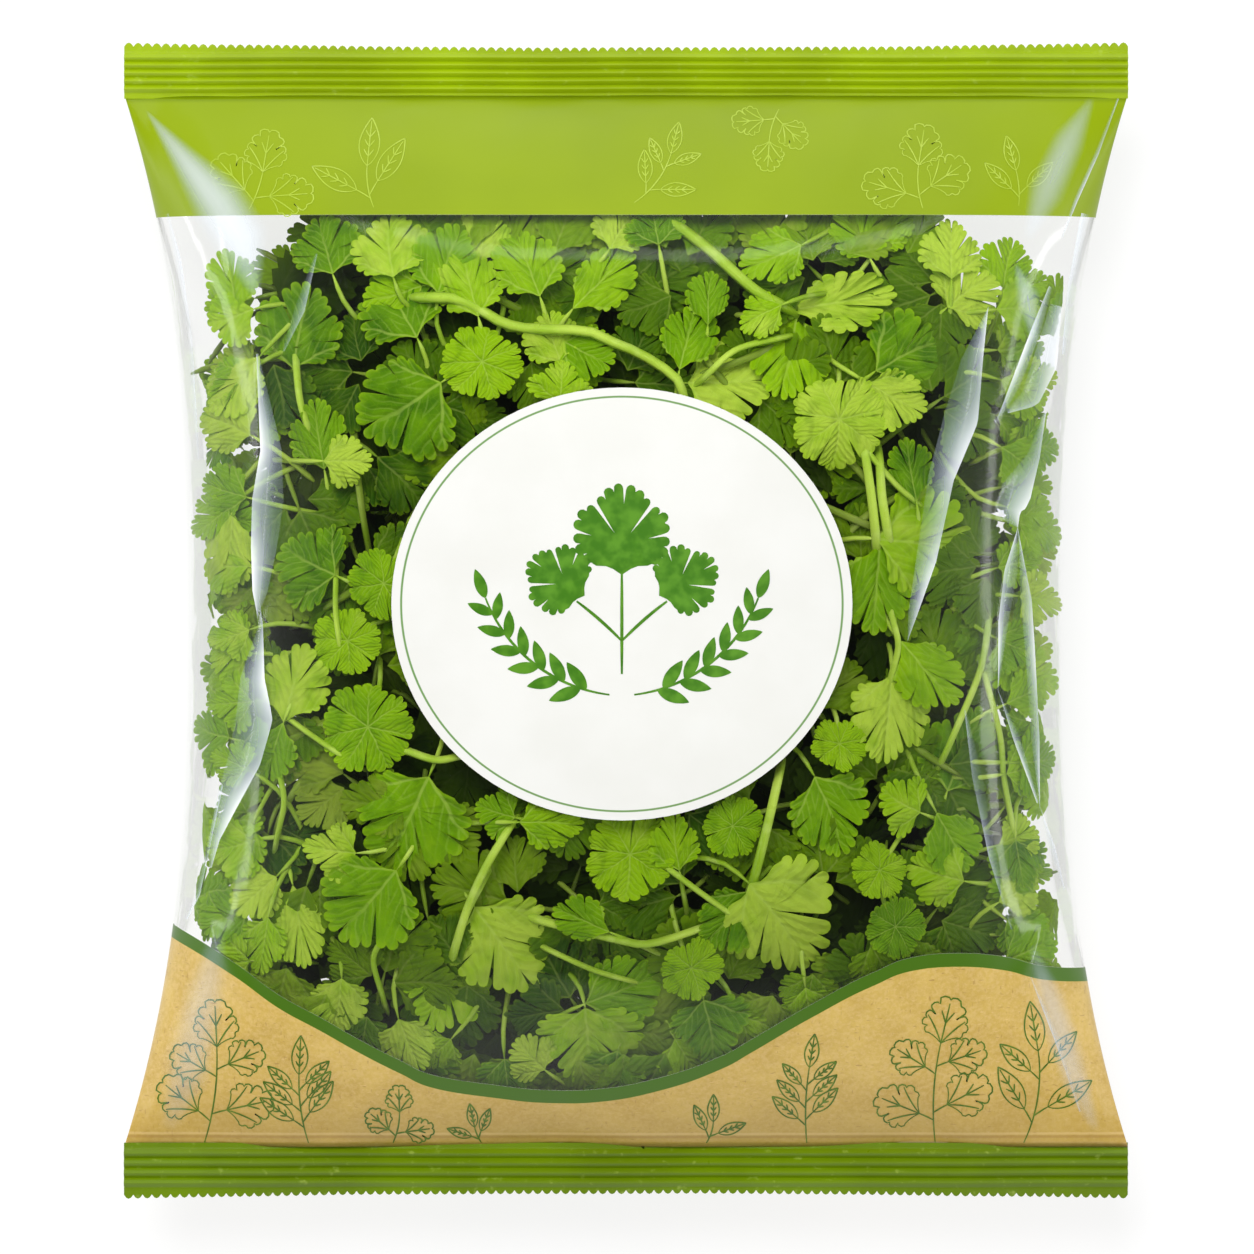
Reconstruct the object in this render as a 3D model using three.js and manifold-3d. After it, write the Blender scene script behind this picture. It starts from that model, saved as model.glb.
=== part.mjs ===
// A sealed clear bag of fresh coriander, lying on its back.
// Millimetres. X runs across the bag, Y up the bag towards its header, Z up from the surface it lies on.
import * as THREE from 'three';
import { mergeVertices } from 'three/addons/utils/BufferGeometryUtils.js';
import Module from 'manifold-3d';

const wasm = await Module();
wasm.setup();

// ---------------------------------------------------------------- driving sizes

// bag
const BAG_WIDTH = 250;
const BAG_LENGTH = 288;
const SEAL_LENGTH = 13;
const TUBE_END = BAG_LENGTH / 2 - SEAL_LENGTH;
const WAIST_HALF_WIDTH = 109;
const WAIST_POWER = 2.6;
const SEAL_HEIGHT = 32;
const FRONT_RISE = 44;
const BACK_DROP = 34;
const SWELL_POWER = 3.2;
const EDGE_POWER = 2.5;
const EDGE_ROUND = 0.62;
const WALL = 0.6;
const INNER_END = TUBE_END - 1.5;
const EDGE_INSET = 2.5 * WALL;
const RING_COUNT = 17;
const RING_POINTS = 24;
const FILM_FINENESS = 0.02;

// crimped end seals
const RIDGE_FROM = TUBE_END + 0.6;
const RIDGE_SPAN = 9.8;
const BAND_OVERLAP = 2;
const RIDGE_HEIGHT = 0.7;
const TOP_RIDGES = 5;
const BOTTOM_RIDGES = 4;
const TOOTH_COUNT = 54;
const TOOTH_DEPTH = 1.1;
const EDGE_DIP = 1.2;
const EDGE_BAND = 3.5;

// back fin seal and vents
const FIN_FROM = 2;
const FIN_WIDTH = 11;
const FIN_PROUD = 0.5;
const FIN_SUNK = 0.4;
const FIN_SHORT = 4;
const VENT_RADIUS = 3;
const VENT_DEPTH = 12;
const VENT_SIDES = 10;
const VENT_PLACES = [[-62, 88], [62, 88]];

// label
const LABEL = { x: -1, y: 4, radiusX: 56, radiusY: 52.5, thick: 0.6, gap: 0.35 };
const LABEL_RINGS = 3;
const LABEL_SIDES = 32;

// coriander
const BLADE_THICK = 0.7;
const LEAF_FINENESS = 0.1;
const MOST_ADDED_FACETS = 190;
const BLADE_ARCH = 0.006;
const VEIN_MEET = 0.15;
const NECK_BACK = 0.08;
const LARGE_LEAFLET = 17.5;
const NODE_GAP = 0.4;
const LEAST_GAP = 0.38;
const FILM_GAP = 1.2;
const PETIOLE_WIDTH = 1.5;
const ROOT_REACH = 0.6;
const ROOT_FLATNESS = 0.25;
const PETIOLE_BENDS = [[5, 3.5], [3, 2.5], [8, 4], [4, 6]];
const STEM_RADIUS = 1.5;
const STEM_SIDES = 5;
const NEAR_SPRIGS = 4;
const CORE_DEPTH = 24;
const CORE_HALF = { across: 12, along: 12, deep: 4.5 };
const CORE_APART = 1.5;
const FRONT_COLUMNS = [-84, -42, 0, 42, 84];
const FRONT_ROWS = [80, 40, 0, -40, -78];
const BACK_COLUMNS = [-66, 0, 66];
const BACK_ROWS = [72, 24, -24, -72];
const LAYERS = [2.6, 4.8, 7.0, 9.4, 12];
const SIDE_LAYERS = [3, 5.5, 8];
const STEM_LAYERS = [3.6, 5, 7, 9];

// Leaflets that lie against the front film: x, y of the base, heading in degrees, length, width.
const FRONT_LEAFLETS = [
  // right under the header
  [-96, 76, 100, 15, 12], [-72, 85, 105, 15, 16], [-82, 62, 80, 20, 20], [-51, 69, 120, 19, 21],
  [-36, 74, 105, 18, 16], [-21, 79, 110, 18, 17], [-13, 76, 45, 20, 13], [20, 72, 90, 13, 10],
  [38, 77, -155, 11, 11], [43, 92, -155, 15, 13], [40, 76, 10, 24, 16], [42, 75, -100, 20, 20],
  [80, 84, 90, 14, 16], [79, 77, 40, 14, 18], [93, 82, 80, 13, 12], [93, 81, 15, 11, 11],
  // above the label
  [-90, 65, -130, 17, 13], [-45, 58, -145, 21, 24], [-16, 63, 110, 12, 13], [-15, 68, -30, 13, 14],
  [-16, 53, 85, 10, 16], [13, 61, 75, 16, 13], [15, 58, 0, 19, 19], [61, 61, 30, 21, 21],
  [59, 58, -30, 16, 14], [-74, 37, 100, 16, 15], [-74, 39, 0, 12, 13], [71, 29, 100, 15, 10],
  // left of the label
  [-98, 28, -140, 11, 13], [-97, 27, -95, 21, 13], [-71, 11, 155, 15, 21], [-93, -8, 175, 10, 20],
  [-84, -25, 75, 19, 16], [-84, -25, -110, 15, 12], [-99, -29, 170, 7, 18],
  // right of the label
  [61, 20, -5, 26, 26], [62, 19, -95, 21, 16], [67, -5, -50, 19, 16], [65, -13, -95, 22, 20],
  [79, -42, 70, 20, 18],
  // below the label
  [-48, -38, -115, 24, 26], [-26, -49, 0, 15, 13], [-27, -48, 165, 10, 12], [13, -61, 100, 14, 12],
  [46, -38, -65, 20, 20], [76, -47, -60, 16, 13], [83, -64, 165, 14, 15], [72, -47, 155, 10, 15],
  [-66, -57, 175, 12, 15], [-56, -61, -130, 21, 22], [-82, -65, -80, 20, 13], [-86, -63, -140, 13, 12],
  [-92, -50, -115, 15, 13], [-88, -73, -100, 13, 12], [96, -54, -80, 12, 15],
  // along the printed band
  [-37, -70, -55, 24, 24], [-42, -81, -105, 20, 20], [30, -64, -50, 25, 29], [30, -66, -125, 17, 15],
  [-10, -95, -85, 18, 27], [-10, -94, 20, 20, 18], [-4, -76, 155, 14, 10], [19, -93, -75, 15, 19],
  [-20, -111, 135, 10, 13], [-43, -103, -135, 10, 11],
];

// Leaves seen square on, with their lobes all round: x, y of the middle, heading, radius.
const FRONT_ROSETTES = [
  [52, 49, -90, 12], [-63, -26, -115, 12], [1, -57, -90, 11], [-35, 63, -125, 10], [-59, 9, -115, 9],
  [-68, -5, -135, 9], [66, -75, -55, 8], [62, -61, -120, 7], [26, -50, -60, 8], [16, -85, -65, 8],
  [52, -30, -90, 7],
];

// Stems that cross in front of the leaves, as x, y points; each dives to a core at its first point.
const FRONT_STEMS = [
  [[14, 54], [7, 63], [-9, 69], [-28, 71], [-47, 80]],
  [[10, 98], [17, 91], [25, 84], [38, 77]],
  [[61, 20], [60, 25], [60, 32], [59, 40]],
  [[65, -13], [65, -7], [66, 0]],
  [[81, -24], [85, -12], [88, -6]],
  [[30, -64], [33, -50], [36, -39]],
  [[-42, -79], [-38, -68], [-34, -60], [-27, -51]],
  [[19, -74], [11, -77], [-7, -75], [-20, -72]],
  [[-77, 48], [-80, 53], [-81, 62]],
];

// Leaflets drawn by rule where the heap shows its back and its sides.
const BACK_GRID = { columns: 5, rows: 6, pitchX: 39, pitchY: 37, jitter: 6, length: 21, width: 22 };
const SIDE_GRID = { count: 9, pitchY: 23, heights: [24, 41], jitter: 4, length: 15, width: 15 };

// ---------------------------------------------------------------- form of the bag

function halfWidth(y) {
  const spread = BAG_WIDTH / 2 - WAIST_HALF_WIDTH;
  return WAIST_HALF_WIDTH + spread * Math.abs(y / TUBE_END) ** WAIST_POWER;
}

function swell(y) {
  return Math.max(0, 1 - Math.abs(y / TUBE_END) ** SWELL_POWER);
}

function bulge(x, y) {
  const reach = Math.min(1, Math.abs(x) / halfWidth(y));
  return swell(y) * (1 - reach ** EDGE_POWER) ** EDGE_ROUND;
}

function frontZ(x, y) {
  return SEAL_HEIGHT + WALL + (FRONT_RISE - WALL) * bulge(x, y);
}

function backZ(x, y) {
  return Math.max(0, SEAL_HEIGHT - WALL - (BACK_DROP - WALL) * bulge(x, y));
}

// ---------------------------------------------------------------- meshes and solids

function geometryOf(points, triangles) {
  const geometry = new THREE.BufferGeometry();
  const flat = points.flatMap((point) => [point.x, point.y, point.z]);
  geometry.setAttribute('position', new THREE.Float32BufferAttribute(flat, 3));
  geometry.setIndex(triangles.flat());
  return geometry;
}

function solidOf(geometry) {
  const bare = geometry.clone();
  bare.deleteAttribute('normal');
  bare.deleteAttribute('uv');
  const merged = mergeVertices(bare, 1e-4);
  return new wasm.Manifold(new wasm.Mesh({
    numProp: 3,
    vertProperties: new Float32Array(merged.attributes.position.array),
    triVerts: new Uint32Array(merged.index.array),
  }));
}

function meshOf(name, solid, material) {
  const { vertProperties, triVerts } = solid.getMesh();
  const geometry = new THREE.BufferGeometry();
  geometry.setAttribute('position', new THREE.BufferAttribute(vertProperties, 3));
  geometry.setIndex(new THREE.BufferAttribute(triVerts, 1));
  geometry.computeVertexNormals();
  const mesh = new THREE.Mesh(geometry, material);
  mesh.name = name;
  return mesh;
}

// A closed skin over rings of equal length, with a fan at each end.
function loft(rings) {
  const sides = rings[0].length;
  const points = rings.flat();
  const triangles = [];
  for (let ring = 0; ring + 1 < rings.length; ring += 1) {
    for (let side = 0; side < sides; side += 1) {
      const next = (side + 1) % sides;
      const a = ring * sides + side;
      const b = ring * sides + next;
      triangles.push([a, b, b + sides], [a, b + sides, a + sides]);
    }
  }
  const lastRing = (rings.length - 1) * sides;
  for (let side = 1; side + 1 < sides; side += 1) {
    triangles.push([0, side + 1, side]);
    triangles.push([lastRing, lastRing + side, lastRing + side + 1]);
  }
  return geometryOf(points, triangles);
}

// ---------------------------------------------------------------- bag film

// The bag's tube between its seals: the outside, or the hollow inside it.
function tube(isHollow) {
  const inset = isHollow ? WALL : 0;
  const edgeInset = isHollow ? EDGE_INSET : 0;
  const end = isHollow ? INNER_END : TUBE_END;
  const rings = [];
  for (let ring = 0; ring < RING_COUNT; ring += 1) {
    const y = end * (1 - (2 * ring) / (RING_COUNT - 1));
    const points = [];
    for (let step = 0; step < RING_POINTS; step += 1) {
      const angle = (2 * Math.PI * step) / RING_POINTS;
      const x = halfWidth(y) * Math.cos(angle);
      const isFold = step % (RING_POINTS / 2) === 0;
      const isFront = step < RING_POINTS / 2;
      let z = isFront ? frontZ(x, y) - inset : backZ(x, y) + inset;
      if (isFold) z = SEAL_HEIGHT;
      points.push(new THREE.Vector3(x * (1 - edgeInset / halfWidth(y)), y, z));
    }
    rings.push(points);
  }
  return solidOf(loft(rings));
}

function crimpedBand(side, ridges) {
  const start = TUBE_END - BAND_OVERLAP;
  const upper = [[start, WALL]];
  const lower = [[start, -WALL]];
  for (let fold = 0; fold <= 2 * ridges; fold += 1) {
    const along = RIDGE_FROM + (fold * RIDGE_SPAN) / (2 * ridges);
    const lift = fold % 2 === 1 ? RIDGE_HEIGHT : 0;
    upper.push([along, WALL + lift]);
    lower.push([along, -WALL + lift]);
  }
  const outline = upper.concat(lower.reverse());
  const shape = new THREE.Shape(outline.map(([y, z]) => new THREE.Vector2(side * y, z)));
  const geometry = new THREE.ExtrudeGeometry(shape, { depth: BAG_WIDTH, bevelEnabled: false });
  const turn = new THREE.Matrix4().makeBasis(
    new THREE.Vector3(0, 1, 0), new THREE.Vector3(0, 0, 1), new THREE.Vector3(1, 0, 0));
  geometry.applyMatrix4(turn);
  geometry.translate(-BAG_WIDTH / 2, 0, SEAL_HEIGHT);
  return solidOf(geometry);
}

function toothedEdge(side) {
  const edge = BAG_LENGTH / 2;
  const inner = edge - EDGE_BAND;
  const points = [[-BAG_WIDTH / 2, inner]];
  for (let step = 0; step <= 2 * TOOTH_COUNT; step += 1) {
    const across = step / (2 * TOOTH_COUNT);
    const x = (across - 0.5) * BAG_WIDTH;
    const dip = EDGE_DIP * (1 - (2 * across - 1) ** 2);
    const notch = step % 2 === 1 ? TOOTH_DEPTH : 0;
    points.push([x, edge - dip - notch]);
  }
  points.push([BAG_WIDTH / 2, inner]);
  const shape = new THREE.Shape(points.map(([x, y]) => new THREE.Vector2(x, side * y)));
  const geometry = new THREE.ExtrudeGeometry(shape, { depth: 2 * WALL, bevelEnabled: false });
  geometry.translate(0, 0, SEAL_HEIGHT - WALL);
  return solidOf(geometry);
}

// The fin seal lies flat along the back; its two ends stop short of the end seals.
function finSeal() {
  const from = FIN_FROM;
  const to = FIN_FROM + FIN_WIDTH;
  const pitch = (2 * TUBE_END) / (RING_COUNT - 1);
  const section = (y, low, high) => [[from, low], [from, high], [to, high], [to, low]]
    .map(([x, z]) => new THREE.Vector3(x, y, z));
  const rings = [];
  for (let ring = 0; ring < RING_COUNT; ring += 1) {
    const y = TUBE_END - ring * pitch;
    const isEnd = ring === 0 || ring === RING_COUNT - 1;
    const towards = isEnd ? -Math.sign(y) : 0;
    const share = (FIN_SHORT / pitch) * Math.abs(towards);
    const along = (x) => backZ(x, y) * (1 - share) + backZ(x, y + towards * pitch) * share;
    rings.push(section(y + towards * FIN_SHORT, Math.max(0, along(to) - FIN_PROUD), along(from) + FIN_SUNK));
  }
  return solidOf(loft(rings));
}

function ventPin([x, y]) {
  const pin = new THREE.CylinderGeometry(VENT_RADIUS, VENT_RADIUS, VENT_DEPTH, VENT_SIDES);
  pin.rotateX(Math.PI / 2);
  pin.translate(x, y, backZ(x, y));
  return solidOf(pin);
}

function bagFilm() {
  const shell = wasm.Manifold.union([
    tube(false),
    crimpedBand(1, TOP_RIDGES),
    crimpedBand(-1, BOTTOM_RIDGES),
    toothedEdge(1),
    toothedEdge(-1),
    finSeal(),
  ]);
  const hollow = wasm.Manifold.union([tube(true), ...VENT_PLACES.map(ventPin)]);
  return shell.subtract(hollow);
}

// ---------------------------------------------------------------- label

function labelDisc() {
  const faceSize = 1 + LABEL_RINGS * LABEL_SIDES;
  const points = [];
  for (const lift of [LABEL.gap, LABEL.gap + LABEL.thick]) {
    points.push(new THREE.Vector3(LABEL.x, LABEL.y, frontZ(LABEL.x, LABEL.y) + lift));
    for (let ring = 1; ring <= LABEL_RINGS; ring += 1) {
      for (let side = 0; side < LABEL_SIDES; side += 1) {
        const angle = (2 * Math.PI * side) / LABEL_SIDES;
        const x = LABEL.x + (LABEL.radiusX * ring * Math.cos(angle)) / LABEL_RINGS;
        const y = LABEL.y + (LABEL.radiusY * ring * Math.sin(angle)) / LABEL_RINGS;
        points.push(new THREE.Vector3(x, y, frontZ(x, y) + lift));
      }
    }
  }
  const triangles = [];
  const vertex = (face, ring, side) => {
    const inFace = ring === 0 ? 0 : 1 + (ring - 1) * LABEL_SIDES + (side % LABEL_SIDES);
    return face * faceSize + inFace;
  };
  for (let side = 0; side < LABEL_SIDES; side += 1) {
    for (let ring = 0; ring < LABEL_RINGS; ring += 1) {
      const low = [vertex(0, ring, side), vertex(0, ring + 1, side + 1), vertex(0, ring + 1, side)];
      const high = [vertex(1, ring, side), vertex(1, ring + 1, side), vertex(1, ring + 1, side + 1)];
      triangles.push(low, high);
      if (ring > 0) {
        triangles.push([vertex(0, ring, side), vertex(0, ring, side + 1), vertex(0, ring + 1, side + 1)]);
        triangles.push([vertex(1, ring, side), vertex(1, ring + 1, side + 1), vertex(1, ring, side + 1)]);
      }
    }
    const rim = [vertex(0, LABEL_RINGS, side), vertex(0, LABEL_RINGS, side + 1)];
    const top = [vertex(1, LABEL_RINGS, side), vertex(1, LABEL_RINGS, side + 1)];
    triangles.push([rim[0], rim[1], top[1]], [rim[0], top[1], top[0]]);
  }
  return solidOf(geometryOf(points, triangles));
}

// ---------------------------------------------------------------- coriander

let drawState = 20261;

function draw(low, high) {
  drawState = (Math.imul(drawState, 1664525) + 1013904223) >>> 0;
  return low + ((high - low) * drawState) / 4294967296;
}

// Rim of a fan-shaped leaflet round its base: degrees off the midrib, and reach over its length.
const FAN_HALF_RIM = [
  [10, 0.88], [21, 0.95], [30, 0.52], [41, 0.9], [54, 0.74], [68, 0.86], [98, 0.66], [138, 0.26],
];

// Half of the same rim for small leaflets.
const SMALL_HALF_RIM = [[16, 0.9], [30, 0.56], [46, 0.88], [62, 0.68], [84, 0.74], [130, 0.3]];

function fanRim(length, width, half) {
  const widest = Math.max(...half.map(([off, reach]) => reach * Math.sin((off * Math.PI) / 180)));
  const across = width / 2 / (widest * length);
  const place = (off, reach, hand) => {
    const angle = (off * Math.PI) / 180;
    return [reach * length * Math.cos(angle), hand * reach * length * Math.sin(angle) * across];
  };
  const right = half.map(([off, reach]) => place(off, reach, -1));
  const left = half.map(([off, reach]) => place(off, reach, 1));
  const base = -NECK_BACK * length;
  const neck = PETIOLE_WIDTH / 2;
  const rim = [[base, -neck], ...right.reverse(), [length, 0], ...left, [base, neck]];
  return { rim, hub: VEIN_MEET * length };
}

// Leaves seen square on: lobes all round, each as turns off its middle in radians, and reach.
const ROSETTE_LOBES = 5;
const ROSETTE_LOBE = [[-0.42, 0.9], [-0.2, 0.82], [0, 1], [0.2, 0.82], [0.42, 0.9], [0.628, 0.5]];

function rosetteRim(radius) {
  const rim = [];
  for (let lobe = 0; lobe < ROSETTE_LOBES; lobe += 1) {
    const middle = (2 * Math.PI * lobe) / ROSETTE_LOBES;
    for (const [off, reach] of ROSETTE_LOBE) {
      rim.push([radius * reach * Math.cos(middle + off), radius * reach * Math.sin(middle + off)]);
    }
  }
  return { rim, hub: 0 };
}

// Where a point of a leaf lies: on the front, on the back or at a side of the heap, some way in.
function frontSpot(x, y, depth) {
  return new THREE.Vector3(x, y, frontZ(x, y) - depth);
}

function backSpot(x, y, depth) {
  return new THREE.Vector3(x, y, backZ(x, y) + depth);
}

const MOST_PART = 0.98;
const LEAST_SWELL = 0.05;

function sideSpot(side, y, z, depth) {
  const rise = z > SEAL_HEIGHT ? FRONT_RISE : BACK_DROP;
  const part = Math.min(MOST_PART, Math.abs(z - SEAL_HEIGHT) / (rise * Math.max(LEAST_SWELL, swell(y))));
  const reach = (1 - part ** (1 / EDGE_ROUND)) ** (1 / EDGE_POWER);
  return new THREE.Vector3(side * (halfWidth(y) * reach - depth), y, z);
}

// How far a point is inside the film.
function filmClearance({ x, y, z }) {
  const step = 0.5;
  const slope = (height) => Math.hypot(
    (height(x + step, y) - height(x - step, y)) / (2 * step),
    (height(x, y + step) - height(x, y - step)) / (2 * step));
  const front = (frontZ(x, y) - z) / Math.hypot(1, slope(frontZ));
  const back = (z - backZ(x, y)) / Math.hypot(1, slope(backZ));
  return Math.min(front, back, halfWidth(y) - Math.abs(x));
}

// A leaflet's blade with its petiole as one skin; the route leads from the blade's base to the root.
function leafGeometry({ rim, hub }, spotOf, outward, route) {
  const half = BLADE_THICK / 2;
  const middle = (along, across) => spotOf(along, across).addScaledVector(outward, -half);
  const places = [middle(hub, 0), ...rim.map(([along, across]) => middle(along, across))];
  const top = places.map((place) => place.clone().addScaledVector(outward, half));
  const under = places.map((place) => place.clone().addScaledVector(outward, -half));
  const points = [...top, ...under];
  const count = rim.length;
  const triangles = [];
  for (let step = 1; step <= count; step += 1) {
    const next = (step % count) + 1;
    const low = step + count + 1;
    const lowNext = next + count + 1;
    triangles.push([0, step, next], [count + 1, lowNext, low]);
    if (step < count) triangles.push([step, low, lowNext], [step, lowNext, next]);
  }
  // petiole: four corners at each station, starting from the two corners of the blade's neck
  const side = places[count].clone().sub(places[1]).normalize();
  let corners = [count, 2 * count + 1, count + 2, 1];
  route.forEach((place, station) => {
    const before = station > 0 ? route[station - 1] : places[1].clone().lerp(places[count], 0.5);
    const onward = place.clone().sub(before).normalize();
    const lateral = side.clone().addScaledVector(onward, -side.dot(onward)).normalize();
    const upward = lateral.clone().cross(onward).normalize();
    const fresh = [[1, 1], [1, -1], [-1, -1], [-1, 1]].map(([across, deep]) => {
      points.push(place.clone()
        .addScaledVector(lateral, (across * PETIOLE_WIDTH) / 2)
        .addScaledVector(upward, deep * half));
      return points.length - 1;
    });
    for (let edge = 0; edge < 4; edge += 1) {
      const next = (edge + 1) % 4;
      triangles.push([corners[edge], corners[next], fresh[next]], [corners[edge], fresh[next], fresh[edge]]);
    }
    corners = fresh;
  });
  triangles.push([corners[0], corners[1], corners[2]], [corners[0], corners[2], corners[3]]);
  return geometryOf(points, triangles);
}

function stemGeometry(points) {
  const outline = [];
  for (let side = 0; side < STEM_SIDES; side += 1) {
    const angle = (2 * Math.PI * side) / STEM_SIDES;
    outline.push(new THREE.Vector2(STEM_RADIUS * Math.cos(angle), STEM_RADIUS * Math.sin(angle)));
  }
  return new THREE.ExtrudeGeometry(new THREE.Shape(outline), {
    steps: 2 * (points.length - 1),
    extrudePath: new THREE.CatmullRomCurve3(points),
    bevelEnabled: false,
  });
}

// One core of bunched stems for each sprig; the leaves and stems stand out of it.
function coreSolid(middle) {
  const core = new THREE.IcosahedronGeometry(1, 0);
  core.scale(CORE_HALF.across, CORE_HALF.along, CORE_HALF.deep);
  core.translate(middle.x, middle.y, middle.z);
  return solidOf(core);
}

const sprigs = [];
const film = bagFilm().simplify(FILM_FINENESS);

function addSprigs(columns, rows, isFront) {
  const least = CORE_HALF.deep + CORE_APART;
  for (const y of rows) {
    for (const x of columns) {
      const middle = isFront ? frontSpot(x, y, CORE_DEPTH) : backSpot(x, y, CORE_DEPTH);
      const away = Math.max(least, Math.abs(middle.z - SEAL_HEIGHT));
      middle.z = SEAL_HEIGHT + (isFront ? away : -away);
      const solid = coreSolid(middle);
      sprigs.push({ middle, pieces: [{ solid, box: boxOf(solid), isCore: true }] });
    }
  }
}

function boxOf(solid) {
  const { min, max } = solid.boundingBox();
  return new THREE.Box3(new THREE.Vector3(...min), new THREE.Vector3(...max));
}

// True where a new piece keeps its gap to every piece of other sprigs, and a blade to every blade.
function isClear(piece, owner, mayMeet) {
  const reach = piece.box.clone().expandByScalar(NODE_GAP);
  if (piece.solid.minGap(film, NODE_GAP) < LEAST_GAP) return false;
  for (const sprig of sprigs) {
    for (const other of sprig.pieces) {
      const mayTouch = sprig === owner && (mayMeet || other.isCore);
      if (mayTouch || !reach.intersectsBox(other.box)) continue;
      if (piece.solid.minGap(other.solid, NODE_GAP) < LEAST_GAP) return false;
    }
  }
  return true;
}

function pieceOf(geometry) {
  const solid = solidOf(geometry);
  return { solid, box: boxOf(solid), isCore: false };
}

function isInside(points) {
  return points.every((point) => filmClearance(point) > FILM_GAP);
}

function nearestSprigs(place) {
  return [...sprigs]
    .sort((one, two) => one.middle.distanceTo(place) - two.middle.distanceTo(place))
    .slice(0, NEAR_SPRIGS);
}

// A point inside a sprig's core on the side of a place, so that petioles don't all meet at one point.
function rootIn({ middle }, place) {
  const away = place.clone().sub(middle);
  const { across, along, deep } = CORE_HALF;
  const spread = Math.hypot(away.x / across, away.y / along, away.z / deep);
  const flat = new THREE.Vector3(away.x, away.y, away.z * ROOT_FLATNESS);
  const flatSpread = Math.hypot(flat.x / across, flat.y / along, flat.z / deep);
  return middle.clone().addScaledVector(flat, Math.min(1, ROOT_REACH / Math.min(spread, flatSpread)));
}

// Every place that a leaf could take on the near sprigs, from the outermost layer inwards.
function* leafChoices(outline, layers, spotAt) {
  for (const depth of layers) {
    const spotOf = (along, across) => spotAt(along, across, depth);
    const hub = spotOf(0, 0);
    const ahead = spotOf(1, 0).sub(hub).normalize();
    const aside = spotOf(0, 1).sub(hub).normalize();
    const outward = ahead.clone().cross(aside).normalize();
    const arched = (along, across) => spotOf(along, across)
      .addScaledVector(outward, -BLADE_ARCH * (along * along + across * across));
    if (!isInside(outline.rim.map(([along, across]) => arched(along, across)))) continue;
    for (const sprig of nearestSprigs(hub)) {
      for (const [back, down] of PETIOLE_BENDS) {
        const bend = hub.clone().addScaledVector(outward, -down).addScaledVector(ahead, -back);
        const route = [bend, rootIn(sprig, bend)];
        yield { sprig, leaf: pieceOf(leafGeometry(outline, arched, outward, route)) };
      }
    }
  }
}

// A leaf takes the first place where it is clear. Where there is none, it grows into its own sprig
// where that adds the fewest facets.
function growLeaf(outline, layers, spotAt) {
  let best = null;
  for (const { sprig, leaf } of leafChoices(outline, layers, spotAt)) {
    if (!isClear(leaf, sprig, true)) continue;
    if (isClear(leaf, sprig, false)) {
      sprig.pieces.push(leaf);
      return;
    }
    const joined = joinedSprig(sprig);
    const added = joined.add(leaf.solid).simplify(LEAF_FINENESS).numTri() - joined.numTri();
    if (added < (best ? best.added : MOST_ADDED_FACETS)) best = { sprig, leaf, added };
  }
  if (best) best.sprig.pieces.push(best.leaf);
}

function joinedSprig(sprig) {
  return wasm.Manifold.union(sprig.pieces.map((piece) => piece.solid)).simplify(LEAF_FINENESS);
}

// A stem starts in a core and then runs just inside the film.
function growStem(route) {
  for (const depth of STEM_LAYERS) {
    const places = route.map(([x, y]) => frontSpot(x, y, depth));
    for (const sprig of nearestSprigs(places[0])) {
      const dive = rootIn(sprig, places[0]);
      const stem = pieceOf(stemGeometry([dive, ...places]));
      if (!isClear(stem, sprig, false)) continue;
      sprig.pieces.push(stem);
      return;
    }
  }
}

function turned(along, across, heading) {
  const angle = (heading * Math.PI) / 180;
  return [
    along * Math.cos(angle) - across * Math.sin(angle),
    along * Math.sin(angle) + across * Math.cos(angle),
  ];
}

function growFront(rim, x, y, heading) {
  growLeaf(rim, LAYERS, (along, across, depth) => {
    const [dx, dy] = turned(along, across, heading);
    return frontSpot(x + dx, y + dy, depth);
  });
}

function growBack(rim, x, y, heading) {
  growLeaf(rim, LAYERS, (along, across, depth) => {
    const [dx, dy] = turned(along, -across, heading);
    return backSpot(x + dx, y + dy, depth);
  });
}

function growSide(rim, side, y, z, heading) {
  growLeaf(rim, SIDE_LAYERS, (along, across, depth) => {
    const [dy, dz] = turned(along, side * across, heading);
    return sideSpot(side, y + dy, z + dz, depth);
  });
}

function growStems() {
  for (const route of FRONT_STEMS) growStem(route);
}

// The largest leaflets are placed first, so that they lie outermost.
function growFrontLeaves() {
  const bySize = [...FRONT_LEAFLETS].sort((one, two) => two[3] * two[4] - one[3] * one[4]);
  for (const [x, y, heading, length, width] of bySize) {
    const half = length > LARGE_LEAFLET ? FAN_HALF_RIM : SMALL_HALF_RIM;
    growFront(fanRim(length, width, half), x, y, heading);
  }
  for (const [x, y, heading, radius] of FRONT_ROSETTES) growFront(rosetteRim(radius), x, y, heading);
}

function growSideLeaves() {
  const { count, pitchY, heights, jitter, length, width } = SIDE_GRID;
  for (const side of [-1, 1]) {
    for (let step = 0; step < count; step += 1) {
      const y = (step - (count - 1) / 2) * pitchY + draw(-jitter, jitter);
      const z = heights[step % heights.length] + draw(-jitter, jitter) / 2;
      const size = draw(0.85, 1.1);
      growSide(fanRim(length * size, width * size, SMALL_HALF_RIM), side, y, z, draw(0, 360));
    }
  }
}

function growBackLeaves() {
  const { columns, rows, pitchX, pitchY, jitter, length, width } = BACK_GRID;
  for (let row = 0; row < rows; row += 1) {
    for (let column = 0; column < columns; column += 1) {
      const x = (column - (columns - 1) / 2) * pitchX + draw(-jitter, jitter);
      const y = (row - (rows - 1) / 2) * pitchY + draw(-jitter, jitter);
      const size = draw(0.85, 1.15);
      growBack(fanRim(length * size, width * size, SMALL_HALF_RIM), x, y, draw(0, 360));
    }
  }
}

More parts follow.
